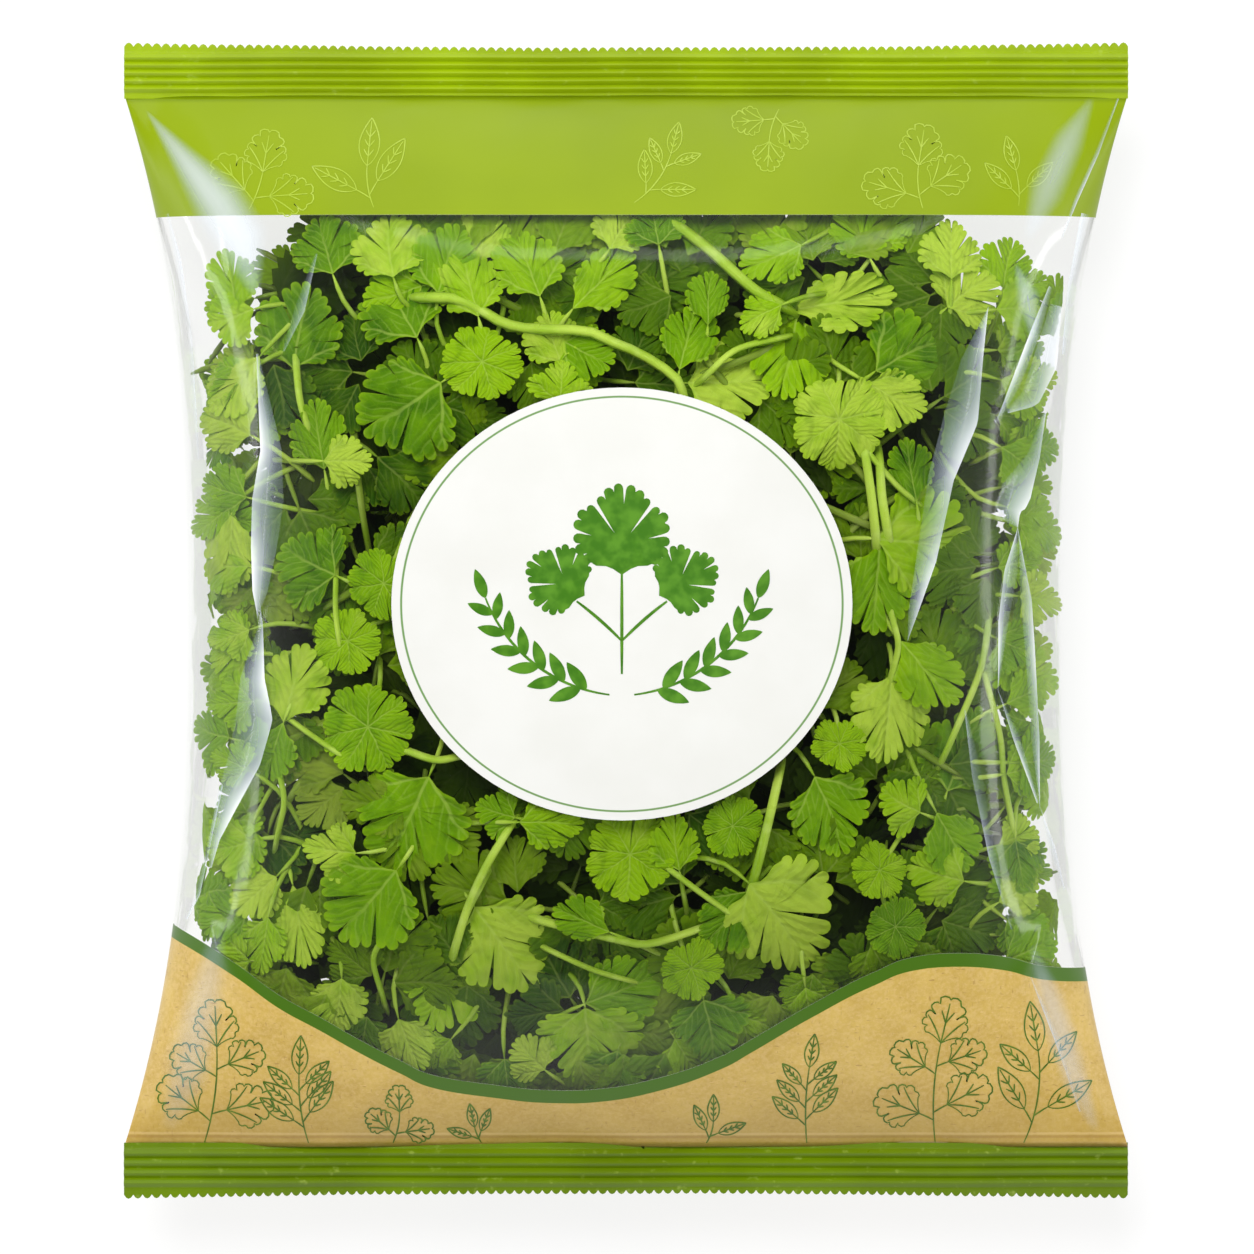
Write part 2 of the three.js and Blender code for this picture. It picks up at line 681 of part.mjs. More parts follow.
// ---------------------------------------------------------------- the object

addSprigs(FRONT_COLUMNS, FRONT_ROWS, true);
addSprigs(BACK_COLUMNS, BACK_ROWS, false);
growStems();
growFrontLeaves();
growSideLeaves();
growBackLeaves();

const filmMaterial = new THREE.MeshStandardMaterial({
  color: 0xcfe0b4, roughness: 0.12, metalness: 0, transparent: true, opacity: 0.35,
});
const labelMaterial = new THREE.MeshStandardMaterial({ color: 0xf4f4f0, roughness: 0.5, metalness: 0 });
const leafMaterial = new THREE.MeshStandardMaterial({ color: 0x6ea01e, roughness: 0.45, metalness: 0 });

const object = new THREE.Group();
object.add(meshOf('bag_film', film, filmMaterial));
object.add(meshOf('label', labelDisc(), labelMaterial));
sprigs.filter(({ pieces }) => pieces.length > 1).forEach((sprig, index) => {
  const number = String(index + 1).padStart(2, '0');
  object.add(meshOf(`coriander_sprig_${number}`, joinedSprig(sprig), leafMaterial));
});

export default object;
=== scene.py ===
import itertools
import math
import random

import bpy
import numpy as np
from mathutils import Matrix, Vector


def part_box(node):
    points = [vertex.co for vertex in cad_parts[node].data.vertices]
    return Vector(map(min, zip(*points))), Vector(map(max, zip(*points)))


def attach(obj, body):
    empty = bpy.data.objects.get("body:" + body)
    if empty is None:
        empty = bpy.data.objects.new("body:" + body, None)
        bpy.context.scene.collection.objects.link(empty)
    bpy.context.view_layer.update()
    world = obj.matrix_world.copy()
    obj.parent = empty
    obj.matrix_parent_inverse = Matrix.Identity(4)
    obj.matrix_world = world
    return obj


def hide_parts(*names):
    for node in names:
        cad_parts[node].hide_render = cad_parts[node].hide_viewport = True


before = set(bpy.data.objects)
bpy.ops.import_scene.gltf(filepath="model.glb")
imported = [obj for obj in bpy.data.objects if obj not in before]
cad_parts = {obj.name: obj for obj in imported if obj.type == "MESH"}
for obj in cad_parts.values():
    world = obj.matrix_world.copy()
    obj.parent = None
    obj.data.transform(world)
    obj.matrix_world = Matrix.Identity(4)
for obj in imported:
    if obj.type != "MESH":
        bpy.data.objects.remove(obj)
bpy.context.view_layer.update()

# Everything below is worked out in millimetres and turned into metres by MM.
MM = 0.001

# ---------------------------------------------------------------- sizes of the bag

BAG_WIDTH = 250.0
BAG_LENGTH = 288.0
TUBE_END = 131.0
WAIST_HALF_WIDTH = 109.0
WAIST_POWER = 2.6
SEAL_HEIGHT = 32.0
FRONT_RISE = 44.0
BACK_DROP = 31.2
SWELL_POWER = 3.2
EDGE_POWER = 2.5
EDGE_ROUND = 0.62
BACK_REST = 0.6
BACK_FLAT_DIP = 31.0
EDGE_FADE = 4.0

HEADER_EDGE = 99.4
HEADER_EDGE_RISE = 1.0
SEAL_THICK = 0.45
TOOTH_COUNT = 108
TOOTH_DEPTH = 1.0
EDGE_DIP = 1.2
RIDGE_HEIGHT = 0.95
RIDGES_TOP = 5
RIDGES_BOTTOM = 4
FIN_FROM = 2.0
FIN_TO = 13.0
FIN_GAP = 0.25
FIN_CRIMP = 0.06
FIN_THICK = 0.3

VENTS = [(-62, 88), (62, 88)]
VENT_RADIUS = 3.0
VENT_RIM = 0.3

# The print on the back covers a little less: y is scaled by this before the print is looked up there.
BACK_PRINT_SHIFT = 0.96

LABEL_X = -1.0
LABEL_Y = 4.0
LABEL_RADIUS_X = 56.0
LABEL_RADIUS_Y = 52.5
LABEL_GAP = 0.3
LABEL_THICK = 0.24
LABEL_RING_INSET = 2.3
LABEL_RING_WIDTH = 0.5

# Upper edge of the wave stripe on the base print: x, y.
WAVE = [
    (-125, -70.5), (-112, -75.8), (-97, -84), (-85, -92.3), (-75, -97.7), (-66.5, -102.6),
    (-55.5, -108.4), (-47.8, -112), (-31, -114.8), (-18.7, -116), (-6.5, -115.6), (8.5, -112.6),
    (24, -106.8), (30.5, -103), (45.8, -93.8), (61, -85.9), (71, -82.3), (81.7, -81.6),
    (92.5, -82.6), (103.6, -85.4), (114.8, -86.3), (125, -86.6),
]
WAVE_WIDTH = 3.4

# Folds in the front film: which edge is bright with painted glare (-1, 1, or 0 for a soft one), how
# strongly it shows, then x, y and width along it.
FOLDS = [
    (1, 0.74, [(89, 77, 0), (84.7, 63, 5.6), (82, 49.5, 8.6), (77, 35, 6.4), (73.3, 15, 5), (70, 2, 2.4),
               (68.6, -5, 0)]),
    (-1, 0.9, [(105, 82.5, 1), (101, 71, 2.6), (96, 58.7, 2.4), (93.2, 52.6, 1.6), (90.5, 48.2, 0)]),
    (1, 0.84, [(106.4, 78, 3), (103.5, 63.6, 6.5), (99.8, 55, 5), (93.7, 51.4, 1)]),
    (1, 0.86, [(103.5, 51.4, 0.6), (100.5, 40.4, 3.4), (96.1, 31.8, 8), (94.2, 27, 7), (96.4, 22.8, 0)]),
    (-1, 0.85, [(96.4, 22.8, 0), (94.7, 12.3, 3.4), (92.7, 0, 2.6), (91.3, -17, 0)]),
    (1, 0.8, [(96.4, 22.8, 0), (98.6, 5, 2.9), (99.6, -7, 2.6), (101, -29, 2.2), (102.2, -46.7, 0)]),
    (-1, 0.8, [(91.3, -17, 0), (96.1, -29, 1.8), (101.7, -45, 0.6)]),
    (1, 0.8, [(102.5, -46.7, 0), (105.4, -56, 1.6), (108.6, -66.5, 0.4)]),
    (-1, 0.9, [(-90.5, 65.5, 0.6), (-88.8, 54, 2.9), (-87, 41.6, 5.4), (-87.8, 29.4, 8), (-88.8, 18, 6.6),
                (-89.8, 7, 3.8), (-90.4, 1, 0)]),
    (1, 0.84, [(-89.8, 4, 0), (-89.6, -1.5, 1.2), (-91.7, -14.5, 6.3), (-91.3, -24, 9.4), (-93.7, -34, 8.4),
              (-98, -44, 6), (-101.5, -53.6, 2.9), (-102.7, -61, 0.8)]),
    (1, 0.6, [(-99.6, -40.6, 0.6), (-105.9, -67.7, 1.2), (-109, -74, 0.6)]),
    (0, 0.5, [(-119.5, 127, 0.6), (-110.5, 115.5, 7), (-100.8, 103.3, 15), (-95, 94, 15), (-91, 80, 3)]),
    (1, 0.4, [(-114, 101, 0.8), (-111, 89, 1.6), (-108, 70, 1.2), (-106, 40, 0.8)]),
    (-1, 0.6, [(114, 101, 2.0), (110.5, 82, 2.2), (108.5, 66, 1.0)]),
    (0, 0.3, [(116, 130, 2), (110, 119, 9), (104, 106, 10), (99, 94, 3)]),
    (1, 0.7, [(122.5, 130, 0.4), (117, 116, 1.0), (111.5, 104, 1.0), (108, 95, 0.4)]),
    (0, 0.3, [(96, 88, 1), (99, 80, 7), (101, 68, 2)]),
    (0, 0.2, [(-100, -74, 3), (-104, -92, 12), (-109, -112, 14), (-114, -127, 5)]),
    (0, 0.26, [(100, -80, 2), (105, -94, 9), (111, -112, 9), (117, -127, 3)]),
    (-1, 0.5, [(100, -88, 0.4), (107, -104, 1.6), (113, -122, 0.6)]),
    (1, 0.3, [(-76, 90, 0.6), (-80, 76, 2.6), (-84, 66, 0.6)]),
    (-1, 0.35, [(83, -22, 0.4), (86, -38, 2.6), (90, -58, 2.0), (95, -76, 0.5)]),
]
FOLD_LIFT = 0.1
FOLD_LIFT_MOST = 0.55
FOLD_GAP = 0.16
RAISED_FOLD = 0.55
NARROWEST = 0.05

# How many of its widths away a crease is no longer felt.
CREASE_REACH = 7
# Slight creases: x and y of both ends, height, width.
CREASES = [
    (-104, 122, -96, 84, 0.5, 2.0), (-108, 78, -101, 10, 0.4, 2.0), (-101, 10, -106, -70, 0.4, 2.2),
    (108, 36, 105, -60, -0.4, 2.2), (-112, -62, -92, -96, 0.5, 2.4), (-120, -122, -86, -96, 0.7, 2.8),
    (112, -60, 96, -92, 0.5, 2.4), (121, -124, 92, -98, 0.7, 2.8), (-60, 128, -52, 108, 0.5, 3.0),
    (-24, 129, -28, 110, 0.4, 3.0), (22, 129, 26, 107, 0.5, 3.2), (60, 128, 52, 106, 0.5, 3.0),
    (-70, -128, -60, -112, 0.5, 3.0), (-14, -129, -10, -116, 0.5, 2.8), (40, -128, 44, -106, 0.5, 3.0),
    (78, -127, 70, -108, 0.5, 3.0), (-70, 76, -40, 66, 0.25, 2.4), (30, 84, 62, 66, 0.25, 2.6),
    (-76, -44, -44, -62, 0.25, 2.4), (44, -60, 78, -40, 0.3, 2.4), (-30, -84, 6, -92, 0.3, 2.4),
]


def half_width(y):
    spread = BAG_WIDTH / 2 - WAIST_HALF_WIDTH
    return WAIST_HALF_WIDTH + spread * np.abs(y / TUBE_END) ** WAIST_POWER


def swell(y):
    return np.clip(1 - np.abs(y / TUBE_END) ** SWELL_POWER, 0, 1)


def bulge(x, y):
    reach = np.clip(np.abs(x) / half_width(y), 0, 1)
    return swell(y) * (1 - reach ** EDGE_POWER) ** EDGE_ROUND


def extent(x, y):
    return x.min(), x.max(), y.min(), y.max()


def comes_near(area, x0, y0, x1, y1, reach):
    """Whether a line may come within reach of an area."""
    low_x, high_x, low_y, high_y = area
    return (
        low_x < max(x0, x1) + reach and high_x > min(x0, x1) - reach
        and low_y < max(y0, y1) + reach and high_y > min(y0, y1) - reach)


def beside(x, y, x0, y0, x1, y1):
    """How far along a line the nearest point lies, from 0 to 1, and how far away it is."""
    along_x = x1 - x0
    along_y = y1 - y0
    share = ((x - x0) * along_x + (y - y0) * along_y) / (along_x ** 2 + along_y ** 2)
    share = np.clip(share, 0, 1)
    return share, np.hypot(x - x0 - share * along_x, y - y0 - share * along_y)


def crease_lift(x, y):
    lift = np.zeros_like(x)
    area = extent(x, y)
    for x0, y0, x1, y1, height, width in CREASES:
        if comes_near(area, x0, y0, x1, y1, CREASE_REACH * width):
            share, away = beside(x, y, x0, y0, x1, y1)
            fade = np.sqrt(np.sin(np.pi * np.clip(share, 0.001, 0.999)))
            lift += height * fade * np.exp(-(away / width) ** 2)
    return lift


def fold_share(x, y):
    """How far into a fold a point lies, 0 at its edge and 1 on its ridge, and how wide it is there."""
    best = np.zeros_like(x)
    wide = np.zeros_like(x)
    area = extent(x, y)
    raised = [fold for _, strength, fold in FOLDS if strength >= RAISED_FOLD]
    for (x0, y0, width0), (x1, y1, width1) in (pair for fold in raised for pair in zip(fold, fold[1:])):
        if comes_near(area, x0, y0, x1, y1, max(width0, width1, NARROWEST)):
            share, away = beside(x, y, x0, y0, x1, y1)
            width = width0 + (width1 - width0) * share
            inside = np.clip(1 - 2 * away / np.maximum(width, NARROWEST), 0, 1)
            wide = np.where(inside > best, width, wide)
            best = np.maximum(best, inside)
    return best, wide


def seal_wave(x):
    return 0.6 * np.sin(x / 15.0 + 0.4) + 0.35 * np.sin(x / 6.9 + 1.1)


def gathers(x, y):
    """Soft ripples that run out of the two end seals."""
    near = np.exp(-(TUBE_END - np.abs(y)) / 17.0)
    side = np.where(y > 0, 0.0, 1.7)
    ripple = np.sin(x / 4.6 + side) + 0.6 * np.sin(x / 2.9 + 2.0 * side + 0.8)
    hold = np.clip((TUBE_END - np.abs(y)) / 5.0, 0, 1)
    return 0.55 * near * ripple * hold


def end_share(y):
    return np.clip(np.abs(y) / TUBE_END, 0, 1) ** 9


def skin_place(x, y):
    """x and y as arrays, and a share that fades to 0 at the side edges."""
    x = np.asarray(x, float)
    y = np.asarray(y, float)
    return x, y, np.clip((half_width(y) - np.abs(x)) / EDGE_FADE, 0, 1)


def front_skin(x, y):
    x, y, edge = skin_place(x, y)
    inside, width = fold_share(x, y)
    ridge = inside * inside * (3 - 2 * inside) * np.minimum(FOLD_LIFT * width, FOLD_LIFT_MOST)
    detail = (crease_lift(x, y) + ridge + gathers(x, y)) * edge
    return SEAL_HEIGHT + FRONT_RISE * bulge(x, y) + detail + seal_wave(x) * end_share(y)


def back_skin(x, y):
    x, y, edge = skin_place(x, y)
    dip = (SEAL_HEIGHT - BACK_REST) * np.minimum(1.0, 1.07 * bulge(x, y))
    detail = 0.5 * (crease_lift(-x, -y) + gathers(x, y)) * edge * np.clip(1 - dip / BACK_FLAT_DIP, 0, 1)
    return SEAL_HEIGHT - dip - np.abs(detail) * 0.6 + seal_wave(x) * end_share(y)


def side_reach(y, z):
    drop = np.where(z >= SEAL_HEIGHT, (z - SEAL_HEIGHT) / FRONT_RISE, (SEAL_HEIGHT - z) / BACK_DROP)
    share = np.clip(drop / np.maximum(swell(y), 0.05), 0, 1)
    reach = (1 - share ** (1 / EDGE_ROUND)) ** (1 / EDGE_POWER)
    return reach * half_width(y)


# ---------------------------------------------------------------- workshop helpers

CRISP_ANGLE = math.radians(40)


def pick_none():
    bpy.ops.object.select_all(action="DESELECT")


def pick(piece):
    pick_none()
    piece.select_set(True)
    bpy.context.view_layer.objects.active = piece


def read(items, name, width=1, kind=float):
    """One value or one row of values of each vertex, face or corner, as an array."""
    values = np.empty(len(items) * width, kind)
    items.foreach_get(name, values)
    return values.reshape(-1, width) if width > 1 else values


def points_of(mesh):
    return read(mesh.vertices, "co", 3)


def set_points(mesh, points):
    mesh.vertices.foreach_set("co", np.ascontiguousarray(points, float).ravel())
    mesh.update()


def shape(piece, x, y, z):
    """Moves a piece's points to places given in millimetres."""
    set_points(piece.data, np.stack([x, y, z], 1) * MM)


def turned(x, y, degrees):
    """x and y turned about the origin."""
    way = math.radians(degrees)
    return x * math.cos(way) - y * math.sin(way), x * math.sin(way) + y * math.cos(way)


def onward(x, y, reach, way):
    """The place at a reach from x, y, in a direction given in radians."""
    return x + reach * math.cos(way), y + reach * math.sin(way)


def grid_piece(name, columns, rows):
    """A flat grid, with the column and the row of each of its vertices."""
    pick_none()
    bpy.ops.mesh.primitive_grid_add(x_subdivisions=columns, y_subdivisions=rows, size=2)
    piece = bpy.context.active_object
    piece.name = name
    flat = points_of(piece.data)
    column = np.rint((flat[:, 0] + 1) / 2 * columns).astype(int)
    row = np.rint((flat[:, 1] + 1) / 2 * rows).astype(int)
    return piece, column, row


def edit_all(piece, operator, **settings):
    """Runs one mesh operator on the whole of a piece."""
    pick(piece)
    bpy.ops.object.mode_set(mode="EDIT")
    bpy.ops.mesh.select_all(action="SELECT")
    operator(**settings)
    bpy.ops.object.mode_set(mode="OBJECT")


def weld(piece, distance=1e-6):
    edit_all(piece, bpy.ops.mesh.remove_doubles, threshold=distance)


def volume_of(mesh):
    """Six times the volume inside a closed mesh, below zero if it is inside out."""
    mesh.calc_loop_triangles()
    corners = read(mesh.loop_triangles, "vertices", 3, int)
    first, second, third = points_of(mesh)[corners].transpose(1, 0, 2)
    return float(np.sum(first * np.cross(second, third)))


def face_outwards(piece):
    edit_all(piece, bpy.ops.mesh.normals_make_consistent, inside=False)
    if volume_of(piece.data) < 0:
        edit_all(piece, bpy.ops.mesh.flip_normals)


def smooth(piece):
    pick(piece)
    bpy.ops.object.shade_smooth()


def build_wall(piece, thickness):
    """Gives a sheet its thickness and keeps its cut edges crisp."""
    pick(piece)
    modifier = piece.modifiers.new("wall", "SOLIDIFY")
    modifier.thickness = thickness * MM
    modifier.offset = 0.0
    bpy.ops.object.modifier_apply(modifier=modifier.name)
    face_outwards(piece)
    smooth(piece)
    bpy.ops.object.shade_smooth_by_angle(angle=CRISP_ANGLE)


def join(pieces, name):
    pick_none()
    for piece in pieces:
        piece.select_set(True)
    bpy.context.view_layer.objects.active = pieces[0]
    if len(pieces) > 1:
        bpy.ops.object.join()
    piece = bpy.context.view_layer.objects.active
    piece.name = name
    piece.data.name = name
    return piece


def finish_piece(piece, material, slot, *nodes):
    piece.data.materials.clear()
    piece.data.materials.append(material)
    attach(piece, "root")
    if nodes:
        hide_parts(*nodes)


def linear(red, green, blue):
    """A colour given in 0 to 255 as a screen shows it."""
    def channel(value):
        value = value / 255
        return value / 12.92 if value <= 0.04045 else ((value + 0.055) / 1.055) ** 2.4
    return (channel(red), channel(green), channel(blue), 1.0)


# ---------------------------------------------------------------- node building

class Nodes:
    """Short hand for placing and wiring shader nodes."""

    def __init__(self, tree):
        self.tree = tree

    def add(self, kind, **settings):
        node = self.tree.nodes.new(kind)
        for key, value in settings.items():
            setattr(node, key, value)
        return node

    def wire(self, value, socket):
        if isinstance(value, bpy.types.NodeSocket):
            self.tree.links.new(value, socket)
        else:
            socket.default_value = value

    def math(self, operation, first, second=0.0, third=0.0, clamp=False):
        node = self.add("ShaderNodeMath", operation=operation, use_clamp=clamp)
        self.wire(first, node.inputs[0])
        self.wire(second, node.inputs[1])
        self.wire(third, node.inputs[2])
        return node.outputs[0]

    def plus(self, first, second, **more):
        return self.math("ADD", first, second, **more)

    def less(self, first, second, **more):
        return self.math("SUBTRACT", first, second, **more)

    def times(self, first, second):
        return self.math("MULTIPLY", first, second)

    def line(self, value, slope, start):
        return self.math("MULTIPLY_ADD", value, slope, start)

    def length(self, first, second):
        """How long a vector with these two sides is."""
        return self.math("SQRT", self.plus(self.times(first, first), self.times(second, second)))

    def stripes(self, value, pitch):
        """How far the nearest of a row of evenly spaced lines lies, as a share of their pitch."""
        return self.math("PINGPONG", self.plus(self.math("DIVIDE", value, pitch), 20.0), 0.5)

    def step(self, value, low, high, start=0.0, end=1.0):
        node = self.add("ShaderNodeMapRange", interpolation_type="SMOOTHSTEP")
        self.wire(value, node.inputs["Value"])
        self.wire(low, node.inputs["From Min"])
        self.wire(high, node.inputs["From Max"])
        self.wire(start, node.inputs["To Min"])
        self.wire(end, node.inputs["To Max"])
        return node.outputs["Result"]

    def blend(self, share, first, second, way="MIX"):
        node = self.add("ShaderNodeMix", data_type="RGBA", blend_type=way)
        self.wire(share, node.inputs[0])
        self.wire(first, node.inputs[6])
        self.wire(second, node.inputs[7])
        return node.outputs[2]

    def value_blend(self, share, first, second):
        node = self.add("ShaderNodeMix", data_type="FLOAT")
        self.wire(share, node.inputs[0])
        self.wire(first, node.inputs[2])
        self.wire(second, node.inputs[3])
        return node.outputs[0]

    def split(self, vector):
        node = self.add("ShaderNodeSeparateXYZ")
        self.wire(vector, node.inputs[0])
        return node.outputs

    def stretch(self, vector, scale, turn=0.0):
        node = self.add("ShaderNodeMapping")
        self.wire(vector, node.inputs["Vector"])
        node.inputs["Rotation"].default_value = (0.0, 0.0, turn)
        node.inputs["Scale"].default_value = scale
        return node.outputs[0]

    def noise(self, vector, scale, detail=3.0, roughness=0.5, flat=False):
        node = self.add("ShaderNodeTexNoise", noise_dimensions="2D" if flat else "3D")
        self.wire(vector, node.inputs["Vector"])
        node.inputs["Scale"].default_value = scale
        node.inputs["Detail"].default_value = detail
        node.inputs["Roughness"].default_value = roughness
        return node.outputs["Fac"]

    def flat_cells(self, vector, scale):
        node = self.add("ShaderNodeTexVoronoi", feature="DISTANCE_TO_EDGE", voronoi_dimensions="2D")
        self.wire(vector, node.inputs["Vector"])
        node.inputs["Scale"].default_value = scale
        return node.outputs["Distance"]

    def bump(self, height, strength, distance):
        node = self.add("ShaderNodeBump")
        node.inputs["Strength"].default_value = strength
        node.inputs["Distance"].default_value = distance
        self.wire(height, node.inputs["Height"])
        return node.outputs[0]


FLOAT = "NodeSocketFloat"
COLOUR = "NodeSocketColor"
VECTOR = "NodeSocketVector"


def new_group(name, inputs, outputs):
    """A shader node group with named sockets: (name, kind) for each input and output."""
    group = bpy.data.node_groups.new(name, "ShaderNodeTree")
    for label, kind in inputs:
        group.interface.new_socket(name=label, in_out="INPUT", socket_type=kind)
    for label, kind in outputs:
        group.interface.new_socket(name=label, in_out="OUTPUT", socket_type=kind)
    n = Nodes(group)
    return group, n, n.add("NodeGroupInput").outputs, n.add("NodeGroupOutput").inputs


def place_group(n, group, **values):
    node = n.add("ShaderNodeGroup", node_tree=group)
    for label, value in values.items():
        n.wire(value, node.inputs[label.replace("_", " ")])
    return node.outputs


def new_material(name):
    """A material with one Principled shader: itself, its node builder and the shader's sockets."""
    material = bpy.data.materials.new(name)
    material.use_nodes = True
    material.node_tree.nodes.clear()
    n = Nodes(material.node_tree)
    shader = n.add("ShaderNodeBsdfPrincipled")
    n.wire(shader.outputs[0], n.add("ShaderNodeOutputMaterial").inputs["Surface"])
    return material, n, shader.inputs


def object_place(n):
    return n.add("ShaderNodeTexCoord").outputs["Object"]


def uv_place(n):
    return n.add("ShaderNodeTexCoord").outputs["UV"]


def attribute(n, name):
    return n.add("ShaderNodeAttribute", attribute_name=name).outputs["Fac"]


def film_ripple_group():
    """Fine handling wrinkles of thin film, as a height."""
    group, n, given, out = new_group(
        "film_ripple", [("Place", VECTOR), ("Fine", FLOAT)], [("Height", FLOAT), ("Haze", FLOAT)])
    broad = n.noise(n.stretch(given["Place"], (44.0, 13.0, 44.0)), 1.0, 1.0, 0.4)
    small = n.noise(n.stretch(given["Place"], (130.0, 40.0, 130.0), turn=0.3), 1.0, 1.0)
    height = n.plus(n.times(broad, 0.8), n.times(small, given["Fine"]))
    n.wire(height, out["Height"])
    n.wire(n.step(broad, 0.35, 0.75), out["Haze"])
    return group


# How far apart the side veins lie, as a share of the leaf map, and the angle between two main veins.
VEIN_PITCH = 0.135
LOBE_PITCH = 2 * math.pi / 7


def leaf_vein_group():
    """Veins that fan out of the leaf's foot, the net between them, and the quilted height."""
    group, n, given, out = new_group(
        "leaf_veins", [("Leaf Place", VECTOR)], [("Vein", FLOAT), ("Net", FLOAT), ("Height", FLOAT)])
    across = n.split(given["Leaf Place"])
    x = n.line(across[0], 2.0, -0.7)
    y = n.line(across[1], 2.0, -1.0)
    radius = n.length(x, y)
    wobble = n.line(n.noise(given["Leaf Place"], 9.0, 1.0, flat=True), 0.14, -0.07)
    angle = n.plus(n.math("ARCTAN2", y, x), wobble)
    main_away = n.times(n.times(n.stripes(angle, LOBE_PITCH), LOBE_PITCH), radius)
    main = n.times(n.step(main_away, 0.006, 0.022, 1.0, 0.0), n.step(radius, 1.0, 0.2, 0.3, 1.0))
    branch = n.line(main_away, -1.5, radius)
    away = n.times(n.stripes(branch, VEIN_PITCH), VEIN_PITCH * 0.55)
    fine = n.times(n.step(away, 0.004, 0.012, 1.0, 0.0), n.step(main_away, 0.3, 0.05, 0.2, 1.0))
    fine = n.times(fine, n.step(radius, 0.12, 0.3))
    n.wire(n.math("MAXIMUM", main, n.times(fine, 0.42)), out["Vein"])
    n.wire(n.step(n.flat_cells(given["Leaf Place"], 26.0), 0.01, 0.07, 1.0, 0.0), out["Net"])
    n.wire(n.line(n.step(away, 0.0, 0.045), 0.7, n.step(main_away, 0.0, 0.05)), out["Height"])
    return group


# How much of the light on a leaf comes out at its other side.
LIGHT_THROUGH = 0.24

LEAF_DARK = linear(58, 110, 0)
LEAF_MID = linear(120, 170, 0)
LEAF_BRIGHT = linear(152, 198, 4)
LEAF_PALE_AND_SHEEN = linear(190, 219, 72)
LEAF_NET = linear(164, 204, 40)
LEAF_VEIN = linear(198, 224, 104)
LEAF_EDGE_PAINTED_GLOW = linear(170, 210, 16)
LEAF_UNDER = linear(150, 190, 50)
# Painted shade: multiplied into leaves and stalks deep in the heap, by each one's share of it.
LEAF_PAINTED_SHADE = linear(6, 30, 0)
LEAF_GLOW = linear(174, 214, 0)


def leaf_material(veins):
    material, n, sockets = new_material("coriander_leaf")
    vein = place_group(n, veins, Leaf_Place=uv_place(n))
    patch = n.noise(object_place(n), 160.0, 1.0)
    shade = n.plus(attribute(n, "leaf_tint"), n.line(patch, 0.5, -0.25), clamp=True)
    body = n.blend(n.step(shade, 0.0, 0.4), LEAF_DARK, LEAF_MID)
    body = n.blend(n.step(shade, 0.4, 0.7), body, LEAF_BRIGHT)
    # The palest tint is partly a paler leaf colour and partly painted sheen.
    body = n.blend(n.step(shade, 0.7, 1.0), body, LEAF_PALE_AND_SHEEN)
    blotch = n.noise(uv_place(n), 7.0, 2.0, flat=True)
    body = n.blend(n.step(blotch, 0.45, 0.75, 0.0, 0.3), body, LEAF_DARK)
    body = n.blend(n.times(vein["Net"], 0.12), body, LEAF_NET)
    body = n.blend(n.times(vein["Vein"], 0.4), body, LEAF_VEIN)
    # Painted glow: the leaf's edge is tinted lighter and yellower, as light shining through the thin
    # margin.
    body = n.blend(n.step(attribute(n, "leaf_rim"), 0.86, 1.0, 0.0, 0.35), body, LEAF_EDGE_PAINTED_GLOW)
    under = n.add("ShaderNodeNewGeometry").outputs["Backfacing"]
    body = n.blend(n.times(under, 0.55), body, LEAF_UNDER)
    # Painted shade: the deeper a leaf lies in the heap, the darker it is made.
    body = n.blend(attribute(n, "leaf_painted_shade_share"), body, LEAF_PAINTED_SHADE, "MULTIPLY")
    n.wire(body, sockets["Base Color"])
    n.wire(n.line(patch, 0.16, 0.34), sockets["Roughness"])
    crinkle = n.noise(object_place(n), 900.0, 0.0)
    n.wire(n.bump(n.line(crinkle, 0.5, vein["Height"]), 0.45, 0.0007), sockets["Normal"])
    sockets["Specular IOR Level"].default_value = 0.27
    glow = n.add("ShaderNodeBsdfTranslucent")
    n.wire(n.blend(0.5, body, LEAF_GLOW), glow.inputs["Color"])
    mix = n.add("ShaderNodeMixShader")
    surface = n.tree.nodes["Material Output"].inputs["Surface"]
    mix.inputs[0].default_value = LIGHT_THROUGH
    n.wire(surface.links[0].from_socket, mix.inputs[1])
    n.wire(glow.outputs[0], mix.inputs[2])
    n.wire(mix.outputs[0], surface)
    return material


STEM_GREEN = linear(140, 178, 30)
STEM_PALE = linear(184, 212, 78)
STEM_STREAK = linear(200, 222, 120)


def stem_material():
    material, n, sockets = new_material("coriander_stem")
    place = object_place(n)
    streak = n.noise(n.stretch(place, (260.0, 260.0, 260.0)), 1.0, 2.0)
    patch = n.noise(place, 60.0, 2.0)
    body = n.blend(n.step(patch, 0.3, 0.7), STEM_GREEN, STEM_PALE)
    body = n.blend(n.step(streak, 0.5, 0.75, 0.0, 0.4), body, STEM_STREAK)
    # Painted shade: stalks deep in the heap are made darker the same way.
    body = n.blend(attribute(n, "leaf_painted_shade_share"), body, LEAF_PAINTED_SHADE, "MULTIPLY")
    n.wire(body, sockets["Base Color"])
    n.wire(n.line(streak, 0.15, 0.22), sockets["Roughness"])
    n.wire(n.bump(streak, 0.25, 0.0003), sockets["Normal"])
    return material


